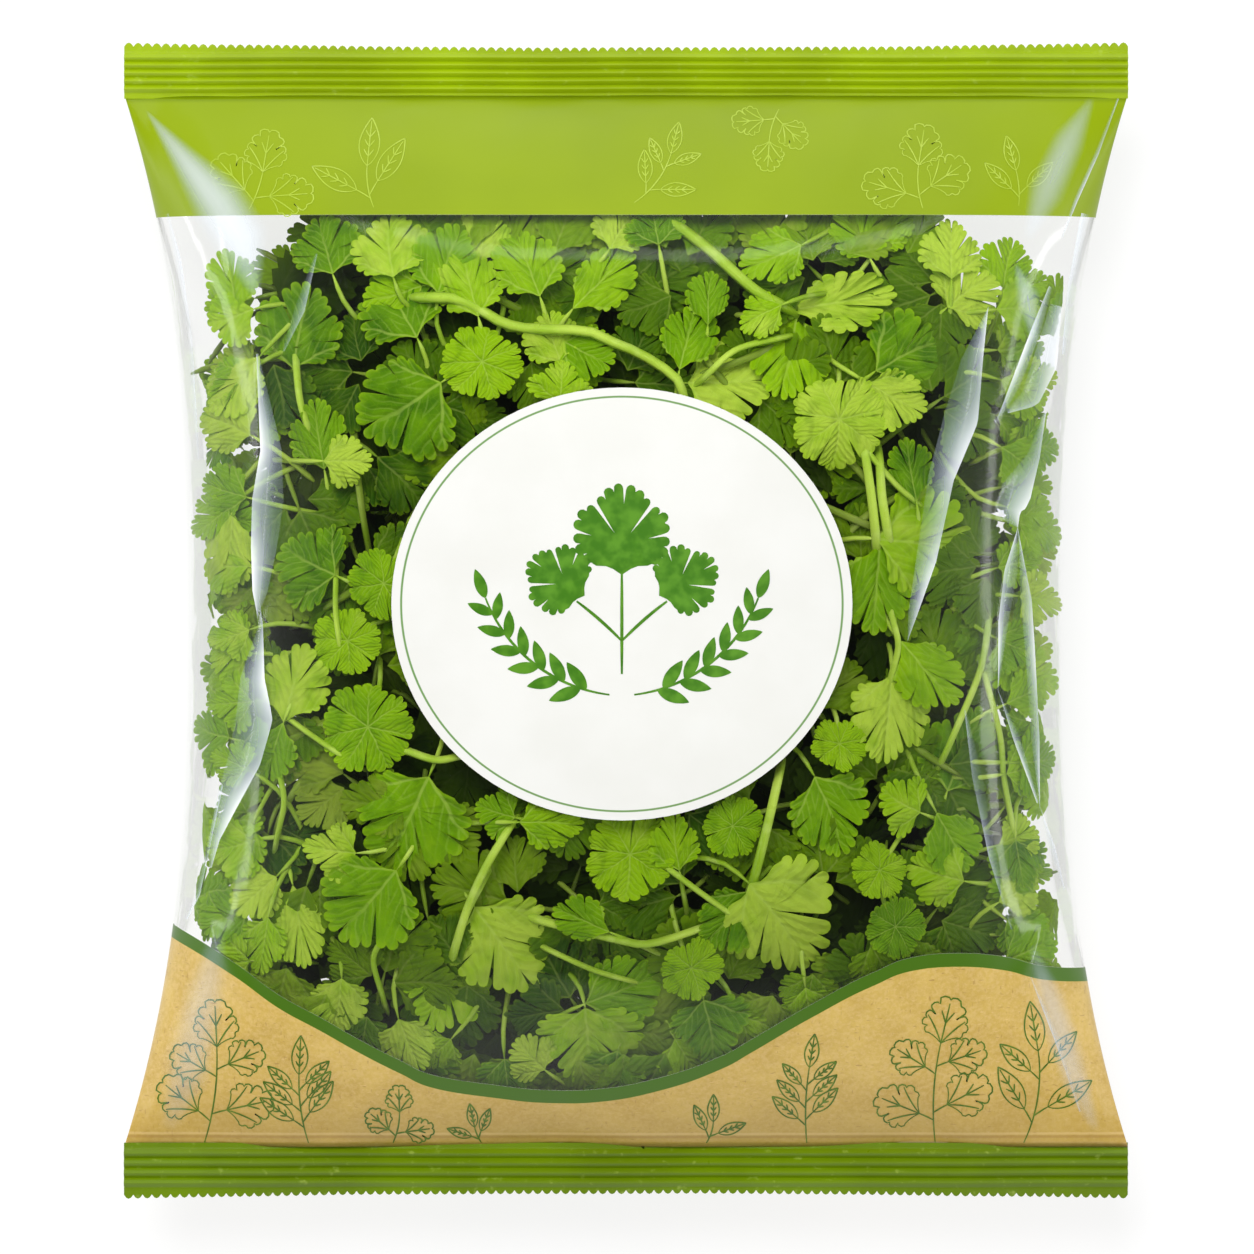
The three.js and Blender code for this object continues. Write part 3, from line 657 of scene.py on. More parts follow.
HEADER_GREEN = linear(136, 158, 2)
HEADER_DEEP = linear(129, 151, 0)
HEADER_PAINTED_SHADE = linear(70, 96, 0)
SEAL_GREEN = linear(150, 176, 6)
BASE_SEAL_GREEN = linear(100, 128, 0)
SEAL_SPECK = linear(196, 214, 110)
GLARE_AND_MILK_TINT = linear(216, 234, 252)
WAVE_GREEN = linear(64, 104, 0)
KRAFT = linear(205, 174, 90)
KRAFT_DEEP = linear(185, 153, 72)
KRAFT_PAINTED_SHADE = linear(164, 134, 60)
KRAFT_FLECK_AND_SHADE = linear(150, 112, 58)
KRAFT_PALE = linear(224, 194, 136)


# Fibres in the brown print: scale, turn, colour and share.
KRAFT_FIBRES = [
    ((420.0, 1700.0, 500.0), 0.5, KRAFT_FLECK_AND_SHADE, 0.5),
    ((1500.0, 480.0, 500.0), 1.1, KRAFT_FLECK_AND_SHADE, 0.4),
    ((500.0, 1800.0, 500.0), 2.2, KRAFT_PALE, 0.4),
]
# Painted shade and painted highlight of a fold just above the base seal, as two thin lines: millimetres
# below the middle, width in metres, share and colour.
KRAFT_FOLD_SHADE_AND_HIGHLIGHT = [(128.4, 0.0006, 0.4, KRAFT_FLECK_AND_SHADE), (127.6, 0.0005, 0.35, KRAFT_PALE)]


def kraft_group():
    """Printed brown paper: soft mottling with short fibres lighter and darker than the ground, painted
    shade towards the base seal, and a fold's painted shade and painted highlight just above it.
    """
    group, n, given, out = new_group("kraft_paper", [("Place", VECTOR)], [("Colour", COLOUR)])
    mottle = n.noise(given["Place"], 60.0, 5.0, 0.7)
    ground = n.blend(n.step(mottle, 0.3, 0.7), KRAFT_DEEP, KRAFT)
    grain = n.noise(given["Place"], 900.0, 3.0, 0.7)
    ground = n.blend(n.step(grain, 0.35, 0.7, 0.0, 0.35), ground, KRAFT_PALE)
    for scale, turn, colour, share in KRAFT_FIBRES:
        fibre = n.noise(n.stretch(given["Place"], scale, turn), 1.0, 1.0)
        ground = n.blend(n.step(fibre, 0.68, 0.78, 0.0, share), ground, colour)
    height = n.split(given["Place"])[1]
    # Painted shade: the brown print darkens towards the base seal.
    ground = n.blend(n.step(height, -131 * MM, -110 * MM, 0.5, 0.0), ground, KRAFT_PAINTED_SHADE)
    # Painted shade and painted highlight along the fold above the base seal.
    for below, width, share, colour in KRAFT_FOLD_SHADE_AND_HIGHLIGHT:
        away = n.math("ABSOLUTE", n.plus(height, below * MM))
        ground = n.blend(n.step(away, 0.0001, width, share, 0.0), ground, colour)
    n.wire(ground, out["Colour"])
    return group


# Half the softness of a printed edge, in metres, and the range of heights in which the wave stripe runs.
PRINT_BLUR = 0.00008
WAVE_LOW = -120.0
WAVE_SPAN = 60.0


def wave_height(n, share):
    """The upper edge of the wave stripe at a share of the bag's width, in metres."""
    curve = n.add("ShaderNodeFloatCurve")
    n.wire(share, curve.inputs["Value"])
    line = curve.mapping.curves[0]
    places = [(x / BAG_WIDTH + 0.5, (y - WAVE_LOW) / WAVE_SPAN) for x, y in WAVE]
    line.points[0].location = places[0]
    line.points[1].location = places[-1]
    for place in places[1:-1]:
        line.points.new(*place)
    curve.mapping.update()
    return n.line(curve.outputs[0], WAVE_SPAN * MM, WAVE_LOW * MM)


def film_print_group():
    """Where the film is printed: the header, the wave stripe and the base under it."""
    group, n, given, out = new_group(
        "film_print", [("Place", VECTOR)],
        [("Header", FLOAT), ("Stripe", FLOAT), ("Base", FLOAT), ("Clear", FLOAT)])
    along = n.split(given["Place"])
    x = n.math("DIVIDE", along[0], BAG_WIDTH / 2 * MM)
    edge = n.line(n.times(x, x), HEADER_EDGE_RISE * MM, HEADER_EDGE * MM)
    header = n.step(n.less(along[1], edge), -PRINT_BLUR, PRINT_BLUR)
    under = n.less(wave_height(n, n.line(x, 0.5, 0.5)), along[1])
    printed = n.step(under, -PRINT_BLUR, PRINT_BLUR)
    base = n.step(under, WAVE_WIDTH * MM - PRINT_BLUR, WAVE_WIDTH * MM + PRINT_BLUR)
    n.wire(header, out["Header"])
    n.wire(n.less(printed, base, clamp=True), out["Stripe"])
    n.wire(base, out["Base"])
    n.wire(n.less(n.less(1.0, header), printed, clamp=True), out["Clear"])
    return group


WHITE = (1.0, 1.0, 1.0, 1.0)


def clear_film_finish(n, place, in_front, ripple):
    """Roughness, normal and opacity of the clear film."""
    wrinkle = place_group(n, ripple, Place=place, Fine=0.35)
    rough = n.line(wrinkle["Haze"], 0.05, 0.06)
    normal = n.bump(wrinkle["Height"], 0.3, 0.0012)
    glance = n.add("ShaderNodeFresnel")
    glance.inputs["IOR"].default_value = 1.5
    n.wire(normal, glance.inputs["Normal"])
    opacity = n.math("DIVIDE", glance.outputs[0], n.line(glance.outputs[0], 0.8, 1.0))
    opacity = n.times(opacity, n.value_blend(in_front, 0.5, 1.0))
    return rough, normal, opacity


def film_in_front(n, place):
    return n.step(n.split(place)[2], (SEAL_HEIGHT - 2) * MM, (SEAL_HEIGHT - 1) * MM)


def clear_film_material(ripple):
    """Clear film, with the holes of the vents in its back."""
    material, n, sockets = new_material("clear_bag_film")
    place = object_place(n)
    in_front = film_in_front(n, place)
    rough, normal, opacity = clear_film_finish(n, place, in_front, ripple)
    for x, y in VENTS:
        away = n.add("ShaderNodeVectorMath", operation="DISTANCE")
        n.wire(n.stretch(place, (1.0, 1.0, 0.0)), away.inputs[0])
        away.inputs[1].default_value = (x * MM, y * MM, 0.0)
        hole = n.step(away.outputs["Value"], (VENT_RADIUS - 0.1) * MM, VENT_RADIUS * MM)
        opacity = n.times(opacity, n.math("MAXIMUM", hole, in_front))
    sockets["Base Color"].default_value = WHITE
    sockets["Metallic"].default_value = 1.0
    n.wire(rough, sockets["Roughness"])
    n.wire(normal, sockets["Normal"])
    n.wire(opacity, sockets["Alpha"])
    return material


# How far from the middle the header is creased by the seal, in millimetres.
HEADER_CREASE = 130.2


def printed_film_material(ripple, kraft, film_print):
    material, n, sockets = new_material("bag_film")
    place = object_place(n)
    in_front = film_in_front(n, place)
    shift = n.add("ShaderNodeCombineXYZ")
    for axis, value in enumerate((1.0, n.value_blend(in_front, BACK_PRINT_SHIFT, 1.0), 1.0)):
        n.wire(value, shift.inputs[axis])
    print_place = n.add("ShaderNodeVectorMath", operation="MULTIPLY")
    n.wire(place, print_place.inputs[0])
    n.wire(shift.outputs[0], print_place.inputs[1])
    area = place_group(n, film_print, Place=print_place.outputs[0])
    paper = place_group(n, kraft, Place=place)
    green = n.blend(n.step(n.noise(place, 22.0, 2.0), 0.3, 0.7), HEADER_DEEP, HEADER_GREEN)
    # Painted shade: a darker green line along the crease by the seal.
    crease = n.less(n.math("ABSOLUTE", n.split(place)[1]), HEADER_CREASE * MM)
    green = n.blend(n.step(crease, -0.0016, 0.0, 0.0, 0.4), green, HEADER_PAINTED_SHADE)
    colour = n.blend(area["Base"], green, paper["Colour"])
    colour = n.blend(area["Stripe"], colour, WAVE_GREEN)
    colour = n.blend(area["Clear"], colour, WHITE)
    rough, normal, opacity = clear_film_finish(n, place, in_front, ripple)
    n.wire(colour, sockets["Base Color"])
    n.wire(area["Clear"], sockets["Metallic"])
    n.wire(n.value_blend(area["Clear"], 0.3, rough), sockets["Roughness"])
    n.wire(normal, sockets["Normal"])
    n.wire(n.value_blend(area["Clear"], 1.0, opacity), sockets["Alpha"])
    return material


def pleat_material():
    """Film with painted glare along its folds, and the milky rims of the vents: white and opaque where the
    share is high, blue-tinted and clear where it is low.
    """
    material, n, sockets = new_material("glare_and_milkiness_film")
    glare_and_milkiness = attribute(n, "painted_glare_and_milkiness")
    n.wire(n.blend(glare_and_milkiness, GLARE_AND_MILK_TINT, WHITE), sockets["Base Color"])
    sockets["Roughness"].default_value = 0.2
    n.wire(glare_and_milkiness, sockets["Alpha"])
    return material


def seal_material(name, ground, ripple):
    material, n, sockets = new_material(name)
    place = object_place(n)
    wrinkle = place_group(n, ripple, Place=place, Fine=0.5)
    speck = n.noise(place, 420.0, 2.0)
    deep = tuple(channel * 0.8 for channel in ground[:3]) + (1.0,)
    colour = n.blend(n.step(n.noise(place, 40.0, 3.0), 0.3, 0.7), deep, ground)
    colour = n.blend(n.step(speck, 0.62, 0.8, 0.0, 0.25), colour, SEAL_SPECK)
    n.wire(colour, sockets["Base Color"])
    n.wire(n.line(speck, 0.15, 0.24), sockets["Roughness"])
    n.wire(n.bump(wrinkle["Height"], 0.3, 0.001), sockets["Normal"])
    return material


LABEL_GREEN = linear(84, 134, 44)
LABEL_GREY = linear(216, 216, 211)
LABEL_WHITE = linear(220, 220, 216)


def label_material():
    material, n, sockets = new_material("label_paper")
    place = object_place(n)
    along = n.split(place)
    x = n.math("DIVIDE", n.less(along[0], LABEL_X * MM), LABEL_RADIUS_X * MM)
    y = n.math("DIVIDE", n.less(along[1], LABEL_Y * MM), LABEL_RADIUS_Y * MM)
    away = n.times(n.less(1.0, n.length(x, y)), (LABEL_RADIUS_X + LABEL_RADIUS_Y) / 2)
    off = n.math("ABSOLUTE", n.less(away, LABEL_RING_INSET))
    ring = n.step(off, LABEL_RING_WIDTH / 2 - 0.08, LABEL_RING_WIDTH / 2 + 0.08, 1.0, 0.0)
    mottle = n.noise(place, 50.0, 3.0)
    paper = n.blend(n.step(mottle, 0.3, 0.7), LABEL_GREY, LABEL_WHITE)
    n.wire(n.blend(n.times(ring, 0.9), paper, LABEL_GREEN), sockets["Base Color"])
    n.wire(n.line(mottle, 0.15, 0.36), sockets["Roughness"])
    n.wire(n.bump(n.noise(place, 700.0, 3.0), 0.12, 0.0002), sockets["Normal"])
    return material


def ink_material(name, colour, pale):
    material, n, sockets = new_material(name)
    patch = n.noise(object_place(n), 300.0, 2.0)
    n.wire(n.blend(n.step(patch, 0.35, 0.7), colour, pale), sockets["Base Color"])
    n.wire(n.line(patch, 0.1, 0.3), sockets["Roughness"])
    return material


# ---------------------------------------------------------------- bag film

PILLOW_COLUMNS = 220
PILLOW_ROWS = 184

# The strips that show the folds: columns, length of a row, how far the direction looks on, least width.
FOLD_COLUMNS = 10
FOLD_STEP = 1.2
FOLD_LOOK = 2.0
FOLD_LEAST = 0.12


def wave_at(x):
    """The height of the wave stripe's upper edge at x."""
    return np.interp(x, *zip(*WAVE))


def pillow_half(name, skin, side):
    piece, column, row = grid_piece(name, PILLOW_COLUMNS, PILLOW_ROWS)
    swing = (column / PILLOW_COLUMNS - 0.5) * math.pi
    y = TUBE_END * (row / PILLOW_ROWS * 2 - 1)
    x = np.sin(swing) * half_width(y) * side
    at_side = (column == 0) | (column == PILLOW_COLUMNS)
    z = np.where(at_side, SEAL_HEIGHT + seal_wave(x) * end_share(y), skin(x, y))
    at_end = (row == 0) | (row == PILLOW_ROWS)
    shape(piece, x, y, np.where(at_end, SEAL_HEIGHT + seal_wave(x), z))
    return piece


def bag_pillow(printed, clear):
    """The film as one closed skin: printed film at both ends, clear film between."""
    halves = [pillow_half("pillow_front", front_skin, 1), pillow_half("pillow_back", back_skin, -1)]
    piece = join(halves, "film_pillow")
    weld(piece, 2e-6)
    face_outwards(piece)
    smooth(piece)
    finish_piece(piece, printed, "clear_film", "bag_film")
    piece.data.materials.append(clear)
    x, y, z = read(piece.data.polygons, "center", 3).T / MM
    y = np.where(z < SEAL_HEIGHT, BACK_PRINT_SHIFT * y, y)
    is_clear = (y < HEADER_EDGE - 3) & (y > wave_at(x) + 5)
    piece.data.polygons.foreach_set("material_index", is_clear.astype(np.int32))


def fold_strip(bright, strength, fold):
    """One fold of the front film, a strip with sharp edges, with painted glare towards its bright edge."""
    route = np.array(fold, float)
    run = np.concatenate([[0], np.cumsum(np.hypot(*np.diff(route[:, :2], axis=0).T))])
    rows = max(8, int(run[-1] / FOLD_STEP))
    piece, column, row = grid_piece("fold", FOLD_COLUMNS, rows)
    share = row / rows * run[-1]

    def along(place, axis):
        return np.interp(place, run, route[:, axis])

    ahead = np.minimum(share + FOLD_LOOK, run[-1])
    behind = np.maximum(share - FOLD_LOOK, 0.0)
    way_x = along(ahead, 0) - along(behind, 0)
    way_y = along(ahead, 1) - along(behind, 1)
    size = np.hypot(way_x, way_y)
    across = column / FOLD_COLUMNS * 2 - 1
    reach = np.maximum(along(share, 2), FOLD_LEAST) / 2 * across
    y = along(share, 1) - reach * way_x / size
    limit = half_width(y) - 1.5
    x = np.clip(along(share, 0) + reach * way_y / size, -limit, limit)
    shape(piece, x, y, front_skin(x, y) + FOLD_GAP)
    # Painted glare: strongest at the fold's bright edge, or soft across the middle of a fold that has none.
    if bright == 0:
        glare_and_milkiness = np.cos(across * math.pi / 2) ** 1.5 * np.sin(np.clip(row / rows, 0, 1) * math.pi) ** 0.6
    else:
        side = across if x[column == FOLD_COLUMNS].mean() > x[column == 0].mean() else -across
        glare_and_milkiness = np.clip(0.5 + 0.5 * bright * side, 0, 1) ** 1.7 * 0.88 + 0.12
        glare_and_milkiness = glare_and_milkiness * (0.75 + 0.25 * np.sin(share / 5.3 + route[0, 0]))
    mark(piece.data, "painted_glare_and_milkiness", strength * glare_and_milkiness)
    return piece


def film_folds(material):
    piece = join([fold_strip(*fold) for fold in FOLDS], "film_folds")
    smooth(piece)
    finish_piece(piece, material, "clear_film")


SEAL_PER_RIDGE = 6
SEAL_PER_TOOTH = 4
SEAL_FLAT_ROWS = 3
CRIMP_FROM = TUBE_END + 0.4
CRIMP_TO = TUBE_END + 10.2


def seal_band(name, side, ridges, material):
    """A crimped end seal: a flat start, ridges across, and a toothed edge."""
    flat = SEAL_FLAT_ROWS
    rows = flat + ridges * SEAL_PER_RIDGE + flat
    piece, column, row = grid_piece(name, SEAL_PER_TOOTH * TOOTH_COUNT, rows)
    across = column / (SEAL_PER_TOOTH * TOOTH_COUNT) * 2 - 1
    x = across * BAG_WIDTH / 2
    ridge_row = np.clip((row - flat) / (rows - 2 * flat), 0, 1)
    edge = BAG_LENGTH / 2 - EDGE_DIP * (1 - across ** 2)
    tooth = TOOTH_DEPTH * (1 - np.abs(np.sin(column / SEAL_PER_TOOTH * math.pi)) ** 0.8)
    start = TUBE_END - 1.0
    lead = start + (CRIMP_FROM - start) * np.clip(row / flat, 0, 1)
    trail_share = np.clip((row - rows + flat) / flat, 0, 1)
    trail = CRIMP_TO + (edge - tooth - CRIMP_TO) * trail_share
    y = np.where(row <= flat, lead, CRIMP_FROM + (CRIMP_TO - CRIMP_FROM) * ridge_row)
    y = np.where(trail_share > 0, trail, y)
    lift = RIDGE_HEIGHT * 0.5 * (1 - np.cos(2 * np.pi * ridges * ridge_row))
    shape(piece, x * side, y * side, SEAL_HEIGHT + seal_wave(x) + lift)
    build_wall(piece, SEAL_THICK)
    finish_piece(piece, material, "clear_film")


def fin_seal(material):
    columns = 8
    rows = 150
    piece, column, row = grid_piece("film_fin_seal", columns, rows)
    y = (row / rows * 2 - 1) * (TUBE_END - 4)
    x = FIN_FROM + column / columns * (FIN_TO - FIN_FROM)
    shape(piece, x, y, back_skin(x, y) - FIN_GAP - FIN_CRIMP * (row % 2))
    build_wall(piece, FIN_THICK)
    finish_piece(piece, material, "clear_film")


def vent_rims(material):
    """The welded rims of the two vents, laid on the back film."""
    rims = []
    for vent_x, vent_y in VENTS:
        pick_none()
        bpy.ops.mesh.primitive_torus_add(
            major_radius=VENT_RADIUS + VENT_RIM, minor_radius=VENT_RIM, major_segments=40, minor_segments=8)
        rim = bpy.context.active_object
        x, y, z = points_of(rim.data).T
        x = x + vent_x
        y = y + vent_y
        shape(rim, x, y, back_skin(x, y) - 0.1 + 0.5 * z)
        # The welded rims of the vents are evenly milky.
        mark(rim.data, "painted_glare_and_milkiness", np.full(len(x), 0.6))
        rims.append(rim)
    piece = join(rims, "film_vent_rims")
    face_outwards(piece)
    smooth(piece)
    finish_piece(piece, material, "clear_film")


def label_skin(x, y):
    """The label's surface, a little over the film and slightly rippled."""
    ripple = 0.14 * np.sin(x / 5.0 + 0.05 * y) * np.sin(y / 21.0 + 1.0)
    return front_skin(x, y) + LABEL_GAP + ripple


def label_piece(material):
    spokes = 96
    rings = 16
    piece, column, row = grid_piece("label_disc", spokes, rings)
    angle = -column / spokes * 2 * math.pi
    radius = row / rings
    x = LABEL_X + LABEL_RADIUS_X * radius * np.cos(angle)
    y = LABEL_Y + LABEL_RADIUS_Y * radius * np.sin(angle)
    shape(piece, x, y, label_skin(x, y))
    weld(piece)
    build_wall(piece, LABEL_THICK)
    finish_piece(piece, material, "label_paper", "label")


# ---------------------------------------------------------------- coriander leaves

# How deep and how round the notches between the teeth are, and half the width of a slit in degrees.
NOTCH_DEPTH = 0.066
NOTCH_ROUND = 2.0
SLIT_HALF_WIDTH = 2.3

# Each kind of leaf, seen from its hub: how far the hub lies from the foot, the smooth edge by the foot, the
# teeth of each lobe as angle and reach, and how deep the slits between the lobes are.
FAN = {
    "hub": 0.34,
    "base": [(180, 0.34), (160, 0.29), (144, 0.3), (130, 0.37)],
    "lobes": [
        [(-116, 0.46), (-101, 0.52), (-86, 0.53)],
        [(-70, 0.56), (-57, 0.6), (-45, 0.57)],
        [(-31, 0.58), (-20, 0.63), (-9, 0.66)],
        [(3, 0.67), (14, 0.64), (26, 0.58)],
        [(41, 0.56), (53, 0.6), (66, 0.58)],
        [(82, 0.54), (97, 0.52), (113, 0.46)],
    ],
    "slits": [0.36, 0.7, 0.26, 0.72, 0.32],
}
WEDGE = {
    "hub": 0.4,
    "base": [(180, 0.4), (166, 0.33), (152, 0.29), (136, 0.3), (122, 0.36)],
    "lobes": [
        [(-106, 0.42), (-89, 0.47), (-73, 0.5)],
        [(-56, 0.54), (-42, 0.55), (-29, 0.53)],
        [(-15, 0.57), (-2, 0.6), (11, 0.58)],
        [(26, 0.54), (40, 0.55), (54, 0.53)],
        [(71, 0.5), (88, 0.47), (105, 0.41)],
    ],
    "slits": [0.34, 0.68, 0.72, 0.32],
}
THREE_PARTED = {
    "hub": 0.3,
    "base": [(180, 0.3), (160, 0.26), (146, 0.29), (134, 0.38)],
    "lobes": [
        [(-120, 0.5), (-107, 0.57), (-94, 0.6)],
        [(-81, 0.6), (-69, 0.58), (-57, 0.53)],
        [(-35, 0.55), (-24, 0.63)],
        [(-13, 0.68), (-3, 0.7), (8, 0.68)],
        [(19, 0.64), (31, 0.56)],
        [(54, 0.53), (66, 0.58), (78, 0.6)],
        [(91, 0.6), (104, 0.57), (118, 0.5)],
    ],
    "slits": [0.32, 0.84, 0.24, 0.22, 0.86, 0.34],
}
ROSETTE = {
    "hub": 0.0,
    "base": [],
    "lobes": [
        [(-173, 0.78), (-161, 0.88), (-149, 0.93), (-138, 0.92)],
        [(-127, 0.92), (-116, 0.94), (-105, 0.9)],
        [(-92, 0.9), (-81, 0.96), (-70, 0.97), (-59, 0.92)],
        [(-48, 0.93), (-37, 0.96), (-26, 0.92)],
        [(-13, 0.95), (-2, 1.0), (9, 0.97), (20, 0.92)],
        [(33, 0.9), (44, 0.95), (55, 0.96)],
        [(66, 0.95), (77, 0.94), (88, 0.9)],
        [(101, 0.9), (112, 0.95), (123, 0.95), (134, 0.9)],
        [(145, 0.92), (158, 0.88), (171, 0.78)],
    ],
    "slits": [0.2, 0.46, 0.18, 0.36, 0.5, 0.2, 0.48, 0.22],
}


def leaf_outline(kind, steps):
    """Angles and reaches of the edge, seen from the hub, from foot to foot; the teeth are scallops."""
    lobes = kind["lobes"]
    slits = kind["slits"]
    edge = [(-angle, reach) for angle, reach in kind["base"]]
    for place, lobe in enumerate(lobes):
        for index, (angle, reach) in enumerate(lobe):
            if index > 0:
                left = (lobe[index - 1][0] + angle) / 2
            elif place > 0:
                left = (lobes[place - 1][-1][0] + angle) / 2 + SLIT_HALF_WIDTH * (0.4 + slits[place - 1])
            else:
                left = angle - (lobe[1][0] - angle) / 2
            if index < len(lobe) - 1:
                right = (lobe[index + 1][0] + angle) / 2
            elif place < len(lobes) - 1:
                right = (lobes[place + 1][0][0] + angle) / 2 - SLIT_HALF_WIDTH * (0.4 + slits[place])
            else:
                right = angle + (angle - lobe[-2][0]) / 2
            low = reach - NOTCH_DEPTH * min(1, (right - left) * reach / 7)
            for step in steps:
                rise = math.sqrt(1 - abs(step) ** NOTCH_ROUND)
                edge.append((left + (right - left) * (step + 1) / 2, low + (reach - low) * rise))
        edge.append((right, low))
        if place < len(lobes) - 1:
            middle = (lobe[-1][0] + lobes[place + 1][0][0]) / 2
            edge.append((middle, low * (1 - slits[place])))
    edge += reversed(kind["base"])
    angles, reaches = zip(*edge)
    return np.radians(np.array(angles, float)), np.array(reaches)


RING_SHARES = {
    4: [0.0, 0.36, 0.66, 0.88, 1.0],
    3: [0.0, 0.5, 0.82, 1.0],
    2: [0.0, 0.62, 1.0],
    1: [0.0, 1.0],
}


def leaf_pattern(name, kind, steps, rings):
    """A flat leaf, foot at the origin and tip towards +X, with its leaf map."""
    angles, reaches = leaf_outline(kind, steps)
    count = len(angles) - 1
    piece, column, row = grid_piece(name, count, rings)
    rim = np.array(RING_SHARES[rings])[row]
    reach = reaches[count - column] * rim
    x = kind["hub"] + reach * np.cos(angles[count - column])
    y = reach * np.sin(angles[count - column])
    set_points(piece.data, np.stack([x, y, np.zeros_like(x)], 1))
    lay_leaf_map(piece.data, x, y)
    mark(piece.data, "leaf_rim", rim)
    weld(piece, 1e-5)
    mesh = piece.data
    mesh.name = name
    bpy.data.objects.remove(piece)
    x, y = points_of(mesh).T[:2]
    return {
        "mesh": mesh, "x": x, "y": y, "rim": read(mesh.attributes["leaf_rim"].data, "value"),
        "angle": np.arctan2(y, x + 1e-9), "length": x.max(), "width": y.max() - y.min(),
    }


def lay_leaf_map(mesh, x, y):
    layer = mesh.uv_layers.active or mesh.uv_layers.new(name="leaf_map")
    corner = read(mesh.loops, "vertex_index", 1, int)
    place = np.stack([(x[corner] + 0.7) / 2, (y[corner] + 1) / 2], 1)
    layer.data.foreach_set("uv", place.ravel())


def mark(mesh, name, values):
    layer = mesh.attributes.get(name) or mesh.attributes.new(name, "FLOAT", "POINT")
    layer.data.foreach_set("value", np.ascontiguousarray(values, float))


# How far the leaves at the sides spread over the height of the bag.
SIDE_SPREAD = 0.8


def chart_place(chart, a, b, depth):
    """A point under the film: a and b run along it, depth goes inwards, at most to near the middle."""
    if chart in ("front", "back"):
        front = front_skin(a, b)
        back = back_skin(a, b)
        depth = np.minimum(depth, 0.46 * np.maximum(front - back, 0))
        return np.stack([a, b, front - depth if chart == "front" else back + depth], -1)
    side = 1 if chart == "right" else -1
    height = SEAL_HEIGHT + (b - SEAL_HEIGHT) * SIDE_SPREAD * swell(a)
    return np.stack([side * (side_reach(a, height) - depth), a, height], -1)


FACES_IN = {"front": False, "back": True, "right": False, "left": True}


def grow_leaf(pattern, chart, spot, size, depth, tilt, tint, deep, rng):
    """One leaflet: its mesh, with its highest point at the given depth, and how deep its foot lies."""
    a, b, heading = spot
    length, width = size
    x = pattern["x"] / pattern["length"]
    y = pattern["y"] / pattern["width"]
    rim = pattern["rim"]
    angle = pattern["angle"]
    phase = [rng.uniform(0, 2 * math.pi) for _ in range(6)]
    sway = 0.05 * np.sin(2 * angle + phase[0]) + 0.03 * np.sin(5 * angle + phase[1])
    turn = 0.08 * np.sin(2 * angle + phase[2]) * rim
    x, y = (
        (x * np.cos(turn) - y * np.sin(turn)) * (1 + sway),
        (x * np.sin(turn) + y * np.cos(turn)) * (1 + sway),
    )
    reach = np.hypot(x, y)
    apart = np.abs((angle / LOBE_PITCH + 0.5) % 1 - 0.5) * 2
    lift = rng.uniform(-0.28, 0.18) * reach ** 2
    lift += rng.uniform(0.06, 0.15) * reach * apart ** 1.3
    lift += rng.uniform(-0.03, 0.05) * rim ** 4
    lift += rng.uniform(0.01, 0.03) * rim ** 3 * np.sin(11 * angle + phase[4])
    lift += rng.uniform(0.05, 0.14) * reach ** 2 * np.sin(3.1 * angle + phase[3])
    lift += rng.uniform(-0.3, 0.3) * x * y
    lift -= rng.uniform(0.0, 0.3) * np.maximum(np.abs(y) - 0.2, 0)
    lean = x * math.cos(phase[5]) + y * math.sin(phase[5])
    lift = lift * length + math.tan(math.radians(tilt)) * length * lean
    across = -width if FACES_IN[chart] else width
    out_a, out_b = turned(x * length, y * across, heading)
    under = depth + lift.max() - lift
    mesh = pattern["mesh"].copy()
    set_points(mesh, chart_place(chart, a + out_a, b + out_b, under) * MM)
    mark(mesh, "leaf_tint", np.full(len(x), tint))
    mark(mesh, "leaf_painted_shade_share", np.full(len(x), deep))
    foot = np.argmin(np.hypot(pattern["x"], pattern["y"]))
    return mesh, float(under[foot])


# ---------------------------------------------------------------- stems and stalks

def tube_pattern(name, sides, cuts, rib):
    """A straight round stalk of radius 1 along Z from 0 to 1, ribbed by moving every other edge in."""
    pick_none()
    bpy.ops.mesh.primitive_cylinder_add(vertices=sides, radius=1, depth=1, location=(0, 0, 0.5))
    piece = bpy.context.active_object
    bpy.ops.object.transform_apply(location=True, rotation=False, scale=False)
    bpy.ops.object.mode_set(mode="EDIT")
    bpy.ops.mesh.select_mode(type="EDGE")
    bpy.ops.mesh.select_all(action="DESELECT")
    bpy.ops.object.mode_set(mode="OBJECT")
    for edge in piece.data.edges:
        low, high = (piece.data.vertices[index].co.z for index in edge.vertices)
        edge.select = abs(low - high) > 0.5
    bpy.ops.object.mode_set(mode="EDIT")
    bpy.ops.mesh.subdivide(number_cuts=cuts)
    bpy.ops.mesh.select_mode(type="VERT")
    bpy.ops.object.mode_set(mode="OBJECT")
    mesh = piece.data
    mesh.name = name
    flat = points_of(mesh)
    turns = np.rint(np.arctan2(flat[:, 1], flat[:, 0]) / (2 * math.pi) * sides).astype(int)
    flat[:, :2] *= np.where(turns % 2 == 0, 1.0, 1.0 - rib)[:, None]
    set_points(mesh, flat)
    for polygon in mesh.polygons:
        polygon.use_smooth = len(polygon.vertices) == 4
    bpy.data.objects.remove(piece)
    return {"mesh": mesh, "points": flat}


